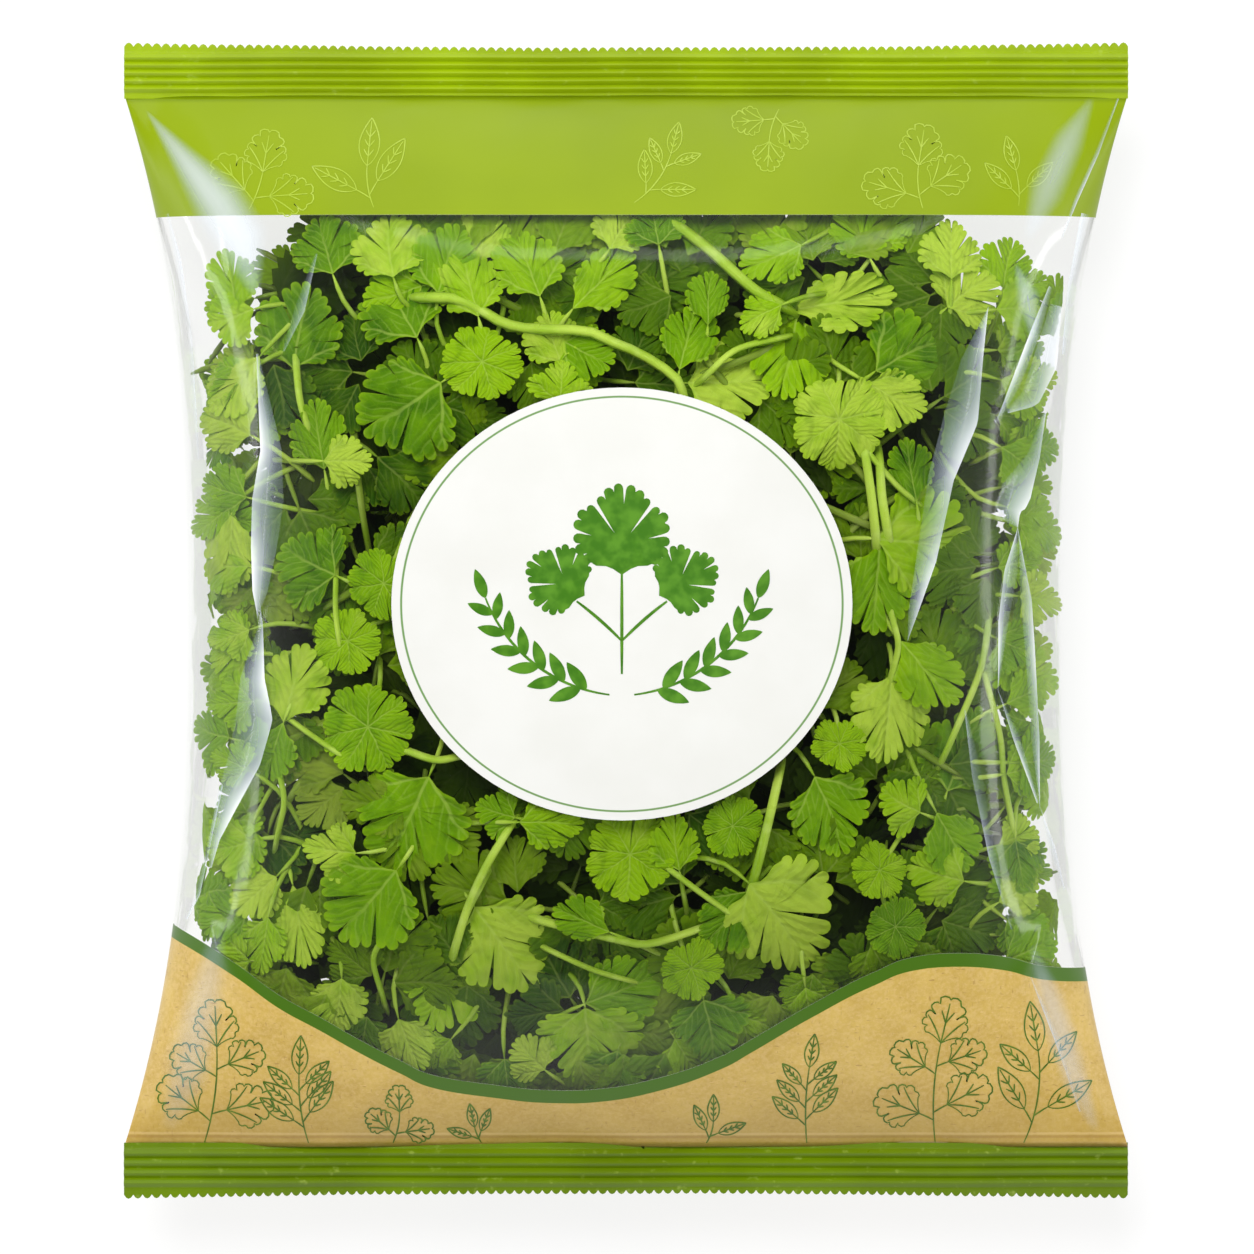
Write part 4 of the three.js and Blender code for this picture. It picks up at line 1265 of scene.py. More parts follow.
def smooth_route(points, share):
    """Points on a curve through the given ones, at shares 0 to 1 of its knots, and the way it runs."""
    knots = np.asarray(points, float)
    padded = np.vstack([2 * knots[0] - knots[1], knots, 2 * knots[-1] - knots[-2]])
    reach = share * (len(knots) - 1)
    index = np.minimum(reach.astype(int), len(knots) - 2)
    t = (reach - index)[:, None]
    p0, p1, p2, p3 = (padded[index + step] for step in range(4))
    first = p2 - p0
    second = 2 * p0 - 5 * p1 + 4 * p2 - p3
    third = 3 * p1 - p0 - 3 * p2 + p3
    place = 0.5 * (2 * p1 + first * t + second * t ** 2 + third * t ** 3)
    run = 0.5 * (first + 2 * second * t + 3 * third * t ** 2)
    return place, run / np.linalg.norm(run, axis=1)[:, None]


# A direction that no stalk runs along.
STALK_GUIDE = np.array([0.12, 0.21, 0.97])


def sweep_tube(pattern, points, start_radius, end_radius, deep=(0.0, 0.0)):
    """A stalk along the given points, with its share of painted shade at both ends."""
    flat = pattern["points"]
    share = np.clip(flat[:, 2], 0, 1)
    place, run = smooth_route(points, share)
    first = np.cross(run, STALK_GUIDE)
    first /= np.linalg.norm(first, axis=1)[:, None]
    second = np.cross(run, first)
    radius = start_radius + (end_radius - start_radius) * share
    radius = (radius * np.interp(share, [0, 0.05, 0.95, 1], [0.35, 1, 1, 0.35]))[:, None]
    mesh = pattern["mesh"].copy()
    set_points(mesh, (place + radius * (first * flat[:, :1] + second * flat[:, 1:2])) * MM)
    mark(mesh, "leaf_painted_shade_share", deep[0] + (deep[1] - deep[0]) * share)
    return mesh


# ---------------------------------------------------------------- where the coriander lies

# Leaflets right behind the front film: x, y of the foot, heading, length, width.
FRONT_LEAFLETS = [
    (-96, 76, 100, 15, 12), (-72, 85, 105, 15, 16), (-82, 62, 80, 20, 20), (-51, 69, 120, 19, 21),
    (-36, 74, 105, 18, 16), (-21, 79, 110, 18, 17), (-13, 76, 45, 20, 13), (20, 72, 90, 13, 10),
    (38, 77, -155, 11, 11), (43, 92, -155, 15, 13), (40, 76, 10, 24, 16), (42, 75, -100, 20, 20),
    (80, 84, 90, 14, 16), (79, 77, 40, 14, 18), (93, 82, 80, 13, 12), (93, 81, 15, 11, 11),
    (-90, 65, -130, 17, 13), (-45, 58, -145, 21, 24), (-16, 63, 110, 12, 13), (-15, 68, -30, 13, 14),
    (-16, 53, 85, 10, 16), (13, 61, 75, 16, 13), (15, 58, 0, 19, 19), (61, 61, 30, 21, 21),
    (59, 58, -30, 16, 14), (-74, 37, 100, 16, 15), (-74, 39, 0, 12, 13), (71, 29, 100, 15, 10),
    (-98, 28, -140, 11, 13), (-97, 27, -95, 21, 13), (-71, 11, 155, 15, 21), (-93, -8, 175, 10, 20),
    (-84, -25, 75, 19, 16), (-84, -25, -110, 15, 12), (-98, -29, 170, 9, 18),
    (61, 20, -5, 26, 26), (62, 19, -95, 21, 16), (67, -5, -50, 19, 16), (65, -13, -95, 22, 20),
    (79, -42, 70, 20, 18), (97, 6, -5, 11, 14), (97, 24, -10, 11, 15), (98, 43, 0, 9, 14),
    (98, 58, 20, 9, 13), (97, -35, 0, 10, 17), (96, -12, -20, 11, 14), (94, -74, -40, 12, 13),
    (-48, -38, -115, 24, 26), (-26, -49, 0, 15, 13), (-27, -48, 165, 10, 12), (13, -61, 100, 14, 12),
    (46, -38, -65, 20, 20), (76, -47, -60, 16, 13), (83, -64, 165, 14, 15), (72, -47, 155, 10, 15),
    (-66, -57, 175, 12, 15), (-56, -61, -130, 21, 22), (-82, -65, -80, 20, 13), (-86, -63, -140, 13, 12),
    (-92, -50, -115, 15, 13), (-88, -73, -100, 13, 12), (96, -54, -80, 12, 15),
    (-37, -70, -55, 24, 24), (-42, -81, -105, 20, 20), (30, -64, -50, 25, 29), (30, -66, -125, 17, 15),
    (-10, -95, -85, 18, 27), (-10, -94, 20, 20, 18), (-4, -76, 155, 14, 10), (19, -93, -75, 15, 19),
    (-20, -111, 135, 10, 13), (-43, -103, -135, 10, 11), (-57, 84, 100, 15, 17), (-46, 80, 76, 17, 16),
    (-50, 82, 200, 15, 15), (-36, 88, 80, 13, 14), (8, 92, 100, 12, 14), (-4, 91, 62, 12, 13),
    (60, 89, 112, 14, 13), (62, 92, 60, 13, 12), (-30, -108, -84, 13, 15), (-2, -106, -100, 14, 15),
    (12, -103, -60, 13, 14),
    (28, -97, -70, 13, 14), (-56, -98, -70, 14, 14), (-70, -88, -95, 14, 14), (44, -90, -80, 13, 14),
]

# Leaves seen square on: x, y of the middle, heading, radius.
FRONT_ROSETTES = [
    (52, 49, -90, 12), (-63, -26, -115, 12), (1, -57, -90, 11), (-35, 63, -125, 10), (-59, 9, -115, 9),
    (-68, -5, -135, 9), (66, -75, -55, 8), (62, -61, -120, 7), (26, -50, -60, 8), (16, -85, -65, 8),
    (52, -30, -90, 7),
]

# Stems that cross in front of the leaves: radius, then x, y points.
FRONT_STEMS = [
    (1.45, [(-50, 79), (-42, 78.5), (-36, 76), (-30, 72.5), (-23, 71), (-10, 70.5), (-4, 68), (4, 64.5),
            (12, 59), (14, 54)]),
    (1.55, [(11, 98), (20, 91), (31, 81), (38, 77)]),
    (1.05, [(-81, 62), (-80, 54), (-78, 47)]),
    (1.3, [(61, 20), (60, 29), (58.5, 40)]),
    (1.3, [(64, 21), (62.5, 30), (62, 38)]),
    (0.9, [(65, -13), (66.5, -6), (65, 1)]),
    (1.0, [(89, -1.5), (87, -12), (82, -24), (78, -33)]),
    (0.9, [(88, -13), (92, -28.5), (93, -39), (96, -54)]),
    (1.35, [(31, -64), (34, -52), (37, -39)]),
    (1.2, [(-42, -81), (-38.5, -70), (-34, -60), (-28, -50)]),
    (1.2, [(-20, -73.5), (-12, -75.5), (-2, -78), (6, -79), (19, -75)]),
    (1.1, [(-53, -32), (-46, -34), (-40, -33)]),
    (0.85, [(-35, -64), (-39, -72), (-42, -82)]),
    (0.85, [(-59, -77), (-62, -83), (-60, -92)]),
    (0.8, [(-83, -24), (-75, -29.5), (-68, -34)]),
    (0.85, [(-85, -38), (-84, -45), (-86, -54)]),
    (0.85, [(11, -61), (19, -67), (26, -72)]),
    (0.8, [(-17, -81.5), (-8, -85.5), (0, -88)]),
    (0.85, [(59, 41), (66, 33), (71, 29)]),
    (0.8, [(-71, 11), (-71, 2), (-70, -6)]),
    (0.9, [(20, 60), (27, 66), (38, 69)]),
    (0.8, [(-16, 53), (-22, 47), (-30, 44)]),
]


def node_centres():
    centres = {}
    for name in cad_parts:
        if name.startswith("coriander_sprig"):
            low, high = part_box(name)
            centres[name] = np.array((low + high) / 2) / MM
    return centres


class Heap:
    """Gathers the meshes of leaves and stalks under the CAD sprig each lies nearest to."""

    def __init__(self):
        centres = node_centres()
        self.names = sorted(centres)
        self.places = np.array([centres[name] for name in self.names])
        self.leaves = {name: [] for name in self.names}
        self.stalks = {name: [] for name in self.names}

    def nearest(self, point):
        return self.names[int(np.argmin(np.linalg.norm(self.places - point, axis=1)))]

    def add_stem(self, knots, middle, start_radius, end_radius, deep=(0.0, 0.0)):
        stem = sweep_tube(STEM, knots, start_radius, end_radius, deep)
        self.stalks[self.nearest(knots[middle])].append(stem)


# A leaf's stalk: share of its length and of its bend at each knot, how it dives under its leaf, its radius,
# and the most painted shade it takes on.
STALK_STEPS = [(0.0, 0.0), (0.35, 0.35), (0.7, 0.75), (1.0, 1.0)]
STALK_GAP = 0.35
STALK_DIVE = 11.0
STALK_THIN = 0.55
STALK_THICK = 0.85
STALK_PAINTED_SHADE_MOST = 0.6


def add_leaf(heap, pattern, chart, spot, size, depth, tilt, tint, deep, rng, stalk=True):
    """Adds a leaf, its foot at spot (a, b, heading) of a chart, and its stalk to the heap."""
    mesh, foot = grow_leaf(pattern, chart, spot, size, depth, tilt, tint, deep, rng)
    a, b, heading = spot
    turn = math.radians(heading)
    owner = heap.nearest(chart_place(chart, *onward(a, b, 0.5 * size[0], turn), depth))
    heap.leaves[owner].append(mesh)
    if not stalk:
        return
    bend = math.radians(rng.uniform(-35, 35))
    reach = rng.uniform(14, 24)
    route = []
    for share, turned_share in STALK_STEPS:
        place = onward(a, b, reach * share, turn + math.pi + bend * turned_share)
        route.append(chart_place(chart, *place, foot + STALK_GAP + STALK_DIVE * share ** 1.3))
    # Painted shade grows along the stalk as it dives under its leaf.
    darkness = (deep, min(STALK_PAINTED_SHADE_MOST, deep + 0.35))
    heap.stalks[owner].append(sweep_tube(STALK, route, STALK_THIN, STALK_THICK, darkness))


def inside_heap(x, y, inset=0.0):
    """Where the coriander fills the bag, seen from the front."""
    top = 103 - inset - 24 * max(0.0, (abs(x) - 52) / 54) ** 2
    low = -123 + inset + 34 * max(0.0, (abs(x) - 50) / 54) ** 2
    return low < y < top and abs(x) < half_width(y) - 5


FRONT_GROWTH = 1.06
FRONT_TINTS = [0.2, 0.42, 0.62, 0.78, 0.92, 1.0]
ROSETTE_TINTS = [0.25, 0.5, 0.7, 0.9]
MARGIN_TINTS = [0.5, 0.66, 0.8, 0.95]
HEM_TINTS = [0.25, 0.42, 0.6, 0.8]


def lay_front(heap, rng):
    """The leaves right behind the front film, square ones as rosettes."""
    for index, (x, y, heading, length, width) in enumerate(FRONT_LEAFLETS):
        depth = 1.3 + 0.7 * (index % 4)
        tint = rng.choice(FRONT_TINTS)
        kind = "fan" if width < 1.15 * length else "parted"
        if width < 0.85 * length:
            kind = "wedge"
        size = (length * FRONT_GROWTH, width * FRONT_GROWTH)
        tilt = rng.uniform(-9, 9)
        add_leaf(heap, FINE[kind], "front", (x, y, heading), size, depth, tilt, tint, 0.0, rng)
    for index, (x, y, heading, radius) in enumerate(FRONT_ROSETTES):
        depth = 1.6 + 0.5 * (index % 3)
        tint = rng.choice(ROSETTE_TINTS)
        size = (radius, 2 * radius)
        tilt = rng.uniform(-8, 8)
        add_leaf(heap, FINE["rosette"], "front", (x, y, heading), size, depth, tilt, tint, 0.0, rng)


# How many leaves stand in each ring under the label, and each ring's share of its radius and its painted
# shade.
UNDER_LABEL = 13
UNDER_LABEL_RINGS = [(0.66, 0.1), (0.3, 0.3)]
# A leaf's width over its length.
WIDENESS = 1.08


def lay_under_label(heap, rng):
    """Leaves that point outwards from under the label, seen past its edge from low down."""
    for step in range(UNDER_LABEL):
        for share, deep in UNDER_LABEL_RINGS:
            way = 2 * math.pi * (step + share) / UNDER_LABEL
            x = LABEL_X + share * LABEL_RADIUS_X * math.cos(way)
            y = LABEL_Y + share * LABEL_RADIUS_Y * math.sin(way)
            length = rng.uniform(15, 18)
            heading = math.degrees(way) + rng.uniform(-20, 20)
            add_leaf(
                heap, rng.choice(MID), "front", (x, y, heading), (length, length * WIDENESS),
                rng.uniform(2.2, 3.6), rng.uniform(-6, 6), rng.uniform(0.3, 0.9), deep, rng, False)


# Leaves deep in the heap, made dark with painted shade, that close a gap: x, y of the foot, heading,
# length, depth.
FILLERS = [(-30, -83, -92, 22, 13.0), (-38, -88, -60, 20, 15.0)]


def lay_fillers(heap, rng):
    for x, y, heading, length, depth in FILLERS:
        size = (length, length * WIDENESS)
        add_leaf(heap, LOW[0], "front", (x, y, heading), size, depth, 4.0, 0.4, 0.85, rng, False)


# The three leaflets of a compound leaf: turn and size.
COMPOUND = [(0, 1.0), (68, 0.85), (-68, 0.85)]


def clamped(value):
    return min(1.0, max(0.0, value))


def lay_layer(heap, rng, chart, pitch, depth, size, tilt, deep, patterns, start, most):
    """Compound leaves of three leaflets each, scattered over one layer of the heap."""
    columns = int(220 / pitch) + 1
    rows = int(230 / pitch) + 1
    for row, column in itertools.product(range(rows), range(columns)):
        x = -110 + pitch * (column + start + 0.5 * (row % 2)) + rng.uniform(-0.35, 0.35) * pitch
        y = -116 + pitch * row + rng.uniform(-0.35, 0.35) * pitch
        heading = rng.uniform(0, 360)
        if not inside_heap(x, y, 4) or abs(x) > most:
            continue
        under = depth * rng.uniform(0.8, 1.2)
        tint = clamped(rng.gauss(0.46, 0.24))
        for turn, share in COMPOUND:
            length = size * share * rng.uniform(0.85, 1.15)
            way = math.radians(heading + turn)
            foot = onward(x, y, 3.0, way)
            tip = onward(*foot, length, way)
            if inside_heap(*tip) and abs(tip[0]) <= most + 3:
                add_leaf(
                    heap, rng.choice(patterns), chart, (*foot, heading + turn), (length, length * WIDENESS),
                    under + rng.uniform(0, 1.5), rng.uniform(-tilt, tilt), tint, deep, rng, turn == 0)


# Leaves along the edges of the heap: depth, lowest y, spread of the heading, painted shade.
MARGIN_ROWS = [(2.0, -84, 35, 0.0), (7.0, -78, 60, 0.18)]
MARGIN_TOP = 86


def lay_margins(heap, rng):
    """Leaves that stand out singly along both edges of the heap."""
    kinds = [FINE["fan"], FINE["parted"], FINE["wedge"]]
    for side, (depth, start, spread, deep) in itertools.product((-1, 1), MARGIN_ROWS):
        y = start
        while y < MARGIN_TOP:
            x = side * rng.uniform(91, 94)
            outward = 0 if side > 0 else 180
            length = rng.uniform(11.5, 14)
            tint = rng.choice(MARGIN_TINTS)
            add_leaf(
                heap, rng.choice(kinds), "front", (x, y, outward + rng.uniform(-spread, spread)),
                (length, length * rng.uniform(1.0, 1.25)), depth, rng.uniform(-8, 8), tint, deep, rng)
            y += rng.uniform(14, 18)


# Leaves at the header and the wave stripe: depth, painted shade.
HEM_ROWS = [(4.0, 0.34), (8.0, 0.75)]
HEM_COLUMNS = 19


def lay_hems(heap, rng):
    """Leaves that run on under the header and under the wave stripe."""
    for step, (depth, deep) in itertools.product(range(HEM_COLUMNS), HEM_ROWS):
        x = -82 + 9 * step + rng.uniform(-2, 2)
        y = float(wave_at(x)) + rng.uniform(5, 8)
        length = rng.uniform(14, 18)
        size = (length, length * 1.05)
        tint = rng.choice(HEM_TINTS)
        add_leaf(
            heap, rng.choice(MID), "front", (x, y, -90 + rng.uniform(-30, 30)), size, depth,
            rng.uniform(-8, 8), tint, deep, rng, False)
        if abs(x) < 72:
            y = 89 + rng.uniform(-2, 3)
            add_leaf(
                heap, rng.choice(MID), "front", (x, y, 90 + rng.uniform(-30, 30)), size, depth,
                rng.uniform(-8, 8), tint, deep, rng, False)


# Leaves at the sides: depth, pitch, painted shade; and the heights at which they stand.
SIDE_ROWS = [(4.5, 19, 0.0), (10.0, 17, 0.3)]
SIDE_HEIGHTS = (17, 32, 46)
SIDE_LOW = -86.0
SIDE_TOP = 70


def lay_sides(heap, rng):
    """Loose leaflets along both edges, one behind the other with gaps between."""
    for chart, (depth, pitch, deep) in itertools.product(("left", "right"), SIDE_ROWS):
        y = SIDE_LOW
        while y < SIDE_TOP:
            for height in SIDE_HEIGHTS:
                a = y + rng.uniform(-5, 5)
                b = height + rng.uniform(-4, 4)
                length = rng.uniform(12, 16)
                add_leaf(
                    heap, rng.choice(MID), chart, (a, b, rng.uniform(0, 360)), (length, length * 1.1),
                    depth, rng.uniform(-6, 6), clamped(rng.gauss(0.5, 0.2)), deep, rng, False)
            y += pitch


# How deep the ends of a front stem dive.
STEM_DIVE = 14.0
DEEP_STEMS = 30
BACK_STEMS = 14


def lay_stems(heap, rng):
    """The long stems: those drawn in front, and scattered ones deep in the heap and at its back."""
    for radius, route in FRONT_STEMS:
        flat = [np.array(place, float) for place in route]
        first = flat[0] + (flat[0] - flat[1]) / np.linalg.norm(flat[0] - flat[1]) * 7
        last = flat[-1] + (flat[-1] - flat[-2]) / np.linalg.norm(flat[-1] - flat[-2]) * 6
        under = 2.7 if radius > 1.25 else 3.6
        depths = [STEM_DIVE, under + 1.6] + [under] * (len(flat) - 2) + [under + 1.6, STEM_DIVE]
        places = [first] + flat + [last]
        knots = [chart_place("front", *place, depth) for place, depth in zip(places, depths)]
        heap.add_stem(knots, len(knots) // 2, radius, 0.85 * radius)
    for _ in range(DEEP_STEMS):
        x = rng.uniform(-92, 92)
        y = rng.uniform(-96, 92)
        heading = rng.uniform(0, 2 * math.pi)
        reach = rng.uniform(26, 52)
        depth = rng.uniform(6, 13)
        bend = rng.uniform(-0.5, 0.5)
        knots = []
        for share in (0.0, 0.33, 0.66, 1.0):
            place = onward(x, y, reach * share, heading + bend * share)
            if not inside_heap(*place):
                break
            knots.append(chart_place("front", *place, depth + 9 * abs(2 * share - 1) ** 2))
        if len(knots) > 2:
            # Stems deep in the heap take a painted shade share of 0.5 along their length.
            heap.add_stem(knots, 1, 1.15, 0.8, (0.5, 0.5))
    for _ in range(BACK_STEMS):
        x = rng.uniform(-80, 80)
        y = rng.uniform(-90, 80)
        heading = rng.uniform(0, 2 * math.pi)
        knots = []
        for share in (0.0, 0.5, 1.0):
            place = onward(x, y, 40 * share, heading)
            if inside_heap(*place):
                knots.append(chart_place("back", *place, 3.2 + 8 * abs(2 * share - 1)))
        if len(knots) > 2:
            heap.add_stem(knots, 1, 1.3, 0.9)


# Layers of the heap: chart, pitch, depth, leaf length, tilt, painted shade, patterns, start of the rows and
# the furthest x.
LAYERS = [
    ("front", 25, 5.5, 18, 12, 0.5, "mid", 0.2, 93), ("front", 25, 10.5, 20, 18, 0.92, "deep", 0.6, 91),
    ("front", 25, 16.0, 24, 22, 0.98, "deep", 0.4, 90), ("front", 24, 22.0, 26, 14, 1.0, "deep", 0.1, 90),
    ("back", 26, 1.6, 18, 6, 0.0, "mid", 0.3, 92), ("back", 28, 6.0, 20, 12, 0.6, "low", 0.7, 86),
]


def new_piece(name, mesh):
    piece = bpy.data.objects.new(name, mesh)
    bpy.context.scene.collection.objects.link(piece)
    return piece


def to_piece(meshes, name):
    return join([new_piece(name, mesh) for mesh in meshes], name)


def coriander_heap():
    heap = Heap()
    rng = random.Random(4107)
    lay_front(heap, rng)
    lay_under_label(heap, random.Random(77))
    lay_fillers(heap, random.Random(78))
    lay_hems(heap, rng)
    lay_margins(heap, rng)
    patterns = {"mid": MID, "low": LOW, "deep": DEEP}
    for chart, pitch, depth, size, tilt, deep, kind, start, most in LAYERS:
        lay_layer(heap, rng, chart, pitch, depth, size, tilt, deep, patterns[kind], start, most)
    lay_sides(heap, rng)
    lay_stems(heap, rng)
    leaf = leaf_material(leaf_vein_group())
    stem = stem_material()
    for name in heap.names:
        number = name.rsplit("_", 1)[1]
        leaves = to_piece(heap.leaves[name], "coriander_leaves_" + number)
        smooth(leaves)
        if heap.stalks[name]:
            stalks = to_piece(heap.stalks[name], "coriander_stalks_" + number)
            finish_piece(stalks, stem, "coriander")
        finish_piece(leaves, leaf, "coriander", name)


# ---------------------------------------------------------------- printed drawings


def drawn_line(points, width, skin, lift):
    """A printed line: a thin strip that follows the surface, narrowing a little to its ends."""
    route = np.asarray(points, float)
    rows = len(route) - 1
    piece, column, row = grid_piece("line", 1, rows)
    run = np.gradient(route, axis=0)
    run /= np.linalg.norm(run, axis=1)[:, None] + 1e-9
    share = np.arange(rows + 1) / rows
    half = width / 2 * (0.45 + 0.55 * np.sin(np.pi * np.clip(share, 0.03, 0.97)) ** 0.5)
    right = np.stack([run[:, 1], -run[:, 0]], 1) * half[:, None]
    x, y = (route[row] + right[row] * np.where(column == 1, 1.0, -1.0)[:, None]).T
    shape(piece, x, y, skin(x, y) + lift)
    return piece


def arc(start, heading, length, bend, steps=9):
    """A curve that starts one way and turns by bend degrees over its length."""
    share = np.linspace(0, 1, steps)
    way = np.radians(heading + bend * share)
    step = length / (steps - 1)
    x = start[0] + step * np.concatenate([[0], np.cumsum(np.cos(way[:-1]))])
    y = start[1] + step * np.concatenate([[0], np.cumsum(np.sin(way[:-1]))])
    return np.stack([x, y], 1)


DRAWN_LEAF = {
    "hub": 0.36,
    "base": [(180, 0.36), (160, 0.3), (140, 0.3)],
    "lobes": [
        [(-110, 0.42), (-86, 0.48), (-62, 0.48)], [(-36, 0.54), (-12, 0.62), (12, 0.62), (36, 0.54)],
        [(62, 0.48), (86, 0.48), (110, 0.42)],
    ],
    "slits": [0.34, 0.34],
}


def drawn_lobed_leaf(foot, heading, size):
    """Edge and veins of a lobed leaf, as lists of points."""
    angles, reaches = leaf_outline(DRAWN_LEAF, (-1.0, -0.7, 0.0, 0.7))
    edge = turned(DRAWN_LEAF["hub"] + reaches * np.cos(angles), reaches * np.sin(angles), heading)
    lines = [np.stack(edge, 1) * size + foot, arc(foot, heading, size * 0.84, 0, 6)]
    middle = onward(*foot, size * 0.42, math.radians(heading))
    for side in (-1, 1):
        lines.append(arc(foot, heading + side * 30, size * 0.66, side * 16, 6))
        lines.append(arc(middle, heading + side * 26, size * 0.28, side * 6, 4))
    return lines


def drawn_long_leaf(foot, heading, size):
    """Edge and veins of a slender leaf that ends in a point, as lists of points."""
    share = np.linspace(0, 1, 15)
    half = 0.2 * np.sin(np.pi * share ** 0.85) ** 0.9
    edge = turned(np.concatenate([share, share[::-1]]), np.concatenate([half, -half[::-1]]), heading)
    lines = [np.stack(edge, 1) * size + foot, arc(foot, heading, size * 0.94, 0, 8)]
    for start in (0.2, 0.4, 0.6):
        middle = onward(*foot, size * start, math.radians(heading))
        for side in (-1, 1):
            lines.append(arc(middle, heading + side * 38, size * 0.17, -side * 12, 4))
    return lines


def drawn_sprig(leaf, foot, heading, length, bend, pairs, size):
    """A stalk with pairs of leaves on short stalks and one at its end."""
    stalk = arc(foot, heading, length, bend, 14)
    lines = [stalk]
    for pair in range(pairs):
        share = 0.26 + 0.5 * pair / max(1, pairs - 1)
        way = heading + bend * share
        for side in (1, -1):
            node = stalk[min(13, int(share * 13) + (side < 0))]
            reach = size * (1.0 - 0.34 * share)
            spread = 58 if leaf is drawn_lobed_leaf else 40
            twig = arc(node, way + side * spread, reach * 0.32, side * 8, 5)
            lines.append(twig)
            lines += leaf(twig[-1], way + side * (spread + 6), reach)
    return lines + leaf(stalk[-1], heading + bend, size * 0.9)


# Sprigs on the base print and on the header: kind of leaf, foot, heading, length, bend, pairs, leaf size.
BASE_SPRIGS = [
    (drawn_lobed_leaf, (-105, -130), 72, 25, 20, 2, 13.5),
    (drawn_long_leaf, (-79, -130), 104, 18, -18, 3, 11),
    (drawn_lobed_leaf, (-58, -130), 66, 8.5, 24, 1, 8),
    (drawn_long_leaf, (-36, -130), 120, 4.5, -20, 1, 7),
    (drawn_long_leaf, (20, -130), 60, 6, 30, 1, 8),
    (drawn_long_leaf, (45, -130), 96, 20, -14, 3, 9.5),
    (drawn_lobed_leaf, (77, -130), 98, 26, -20, 2, 13.5),
    (drawn_long_leaf, (99, -130), 68, 24, 32, 2, 14),
]
HEADER_SPRIGS = [
    (drawn_lobed_leaf, (-93, 101.5), 62, 10, 20, 1, 12.5),
    (drawn_long_leaf, (-62, 101.5), 112, 11, -26, 1, 14),
    (drawn_long_leaf, (2, 102.5), 36, 16, 40, 2, 9.5),
    (drawn_lobed_leaf, (38, 127), -118, 9, 24, 1, 9),
    (drawn_lobed_leaf, (73, 101.5), 106, 11, -26, 1, 12.5),
    (drawn_long_leaf, (97, 102.5), 84, 9, 20, 1, 10),
]


# How far the drawings on the film and on the label stand over their ground.
PRINT_LIFT = 0.1
LABEL_PRINT_LIFT = 0.18


def drawings(name, sprigs, width, material):
    lines = [line for sprig in sprigs for line in drawn_sprig(*sprig)]
    piece = join([drawn_line(line, width, front_skin, PRINT_LIFT) for line in lines], name)
    smooth(piece)
    finish_piece(piece, material, "clear_film")


# The label's ornament: place, heading and size of its large leaves, and start, heading, length and bend of
# its stalks and branches.
LABEL_LEAVES = [((0, 7), 90, 22), ((-9, 2), 148, 16), ((9, 2), 32, 16)]
LABEL_STALKS = [((0, -17), 90, 25, 0), ((0, -9), 134, 14.6, 10), ((0, -9), 46, 14.6, -10)]
LABEL_BRANCHES = [((-3, -22), 172, 40, -62), ((3, -22), 8, 40, 62)]


def slender_pattern():
    """A flat pointed leaf, foot at the origin and tip towards +X."""
    columns = 16
    piece, column, row = grid_piece("slender_leaf", columns, 4)
    x = column / columns
    y = (row / 2 - 1) * 0.19 * np.sin(math.pi * x ** 0.85) ** 0.8
    set_points(piece.data, np.stack([x, y, np.zeros_like(x)], 1))
    weld(piece, 1e-5)
    mesh = piece.data
    bpy.data.objects.remove(piece)
    x, y = points_of(mesh).T[:2]
    return {"mesh": mesh, "x": x, "y": y}


def ornament_leaf(pattern, place, heading, size):
    piece = new_piece("label_leaf", pattern["mesh"].copy())
    x, y = turned(pattern["x"] * size, pattern["y"] * size, heading)
    x = LABEL_X + place[0] + x
    y = LABEL_Y + place[1] + y
    shape(piece, x, y, label_skin(x, y) + 0.17)
    return piece


def label_ornament(material):
    slender = slender_pattern()
    pieces = [ornament_leaf(FINE["fan"], *leaf) for leaf in LABEL_LEAVES]
    shift = np.array([LABEL_X, LABEL_Y])
    for stalk in LABEL_STALKS:
        pieces.append(drawn_line(arc(*stalk, 16) + shift, 0.8, label_skin, LABEL_PRINT_LIFT))
    for start, heading, length, bend in LABEL_BRANCHES:
        route = arc(start, heading, length, bend, 29)
        pieces.append(drawn_line(route + shift, 0.7, label_skin, LABEL_PRINT_LIFT))
        for index, side in itertools.product(range(4, 28, 4), (-1, 1)):
            way = heading + bend * index / 28
            foot = route[index + (side > 0)]
            pieces.append(ornament_leaf(slender, foot, way + side * 38, 8.6 - 0.08 * index))
        pieces.append(ornament_leaf(slender, route[-1], heading + bend, 7.5))
    piece = join(pieces, "label_ornament")
    smooth(piece)
    finish_piece(piece, material, "label_paper")


# ---------------------------------------------------------------- studio

FLOOR_GREY = (0.22, 0.22, 0.22, 1)
FLOOR_GLOW = 0.79
# Lights: name, place, width, height, power, whether they show in gloss.
LIGHTS = [
    ("key", (-0.35, 0.9, 1.8), 1.0, 1.0, 36, False), ("fill", (0.5, -0.3, 1.9), 1.4, 1.4, 12, False),
    ("gloss_left", (-0.86, 0.0, 0.33), 1.3, 0.05, 0.9, True),
    ("gloss_right", (0.86, 0.0, 0.36), 1.3, 0.05, 0.9, True),
    ("gloss_top", (0.1, 1.2, 0.9), 1.2, 0.08, 0.5, True),
]
# The two gloss lights at the sides aim a little higher than the others.
AIM = {"gloss_left": (0, 0, 0.05), "gloss_right": (0, 0, 0.05)}
CAMERA_PLACE = (0.00025, -0.0016, 1.632)
CAMERA_LENS = 184.4


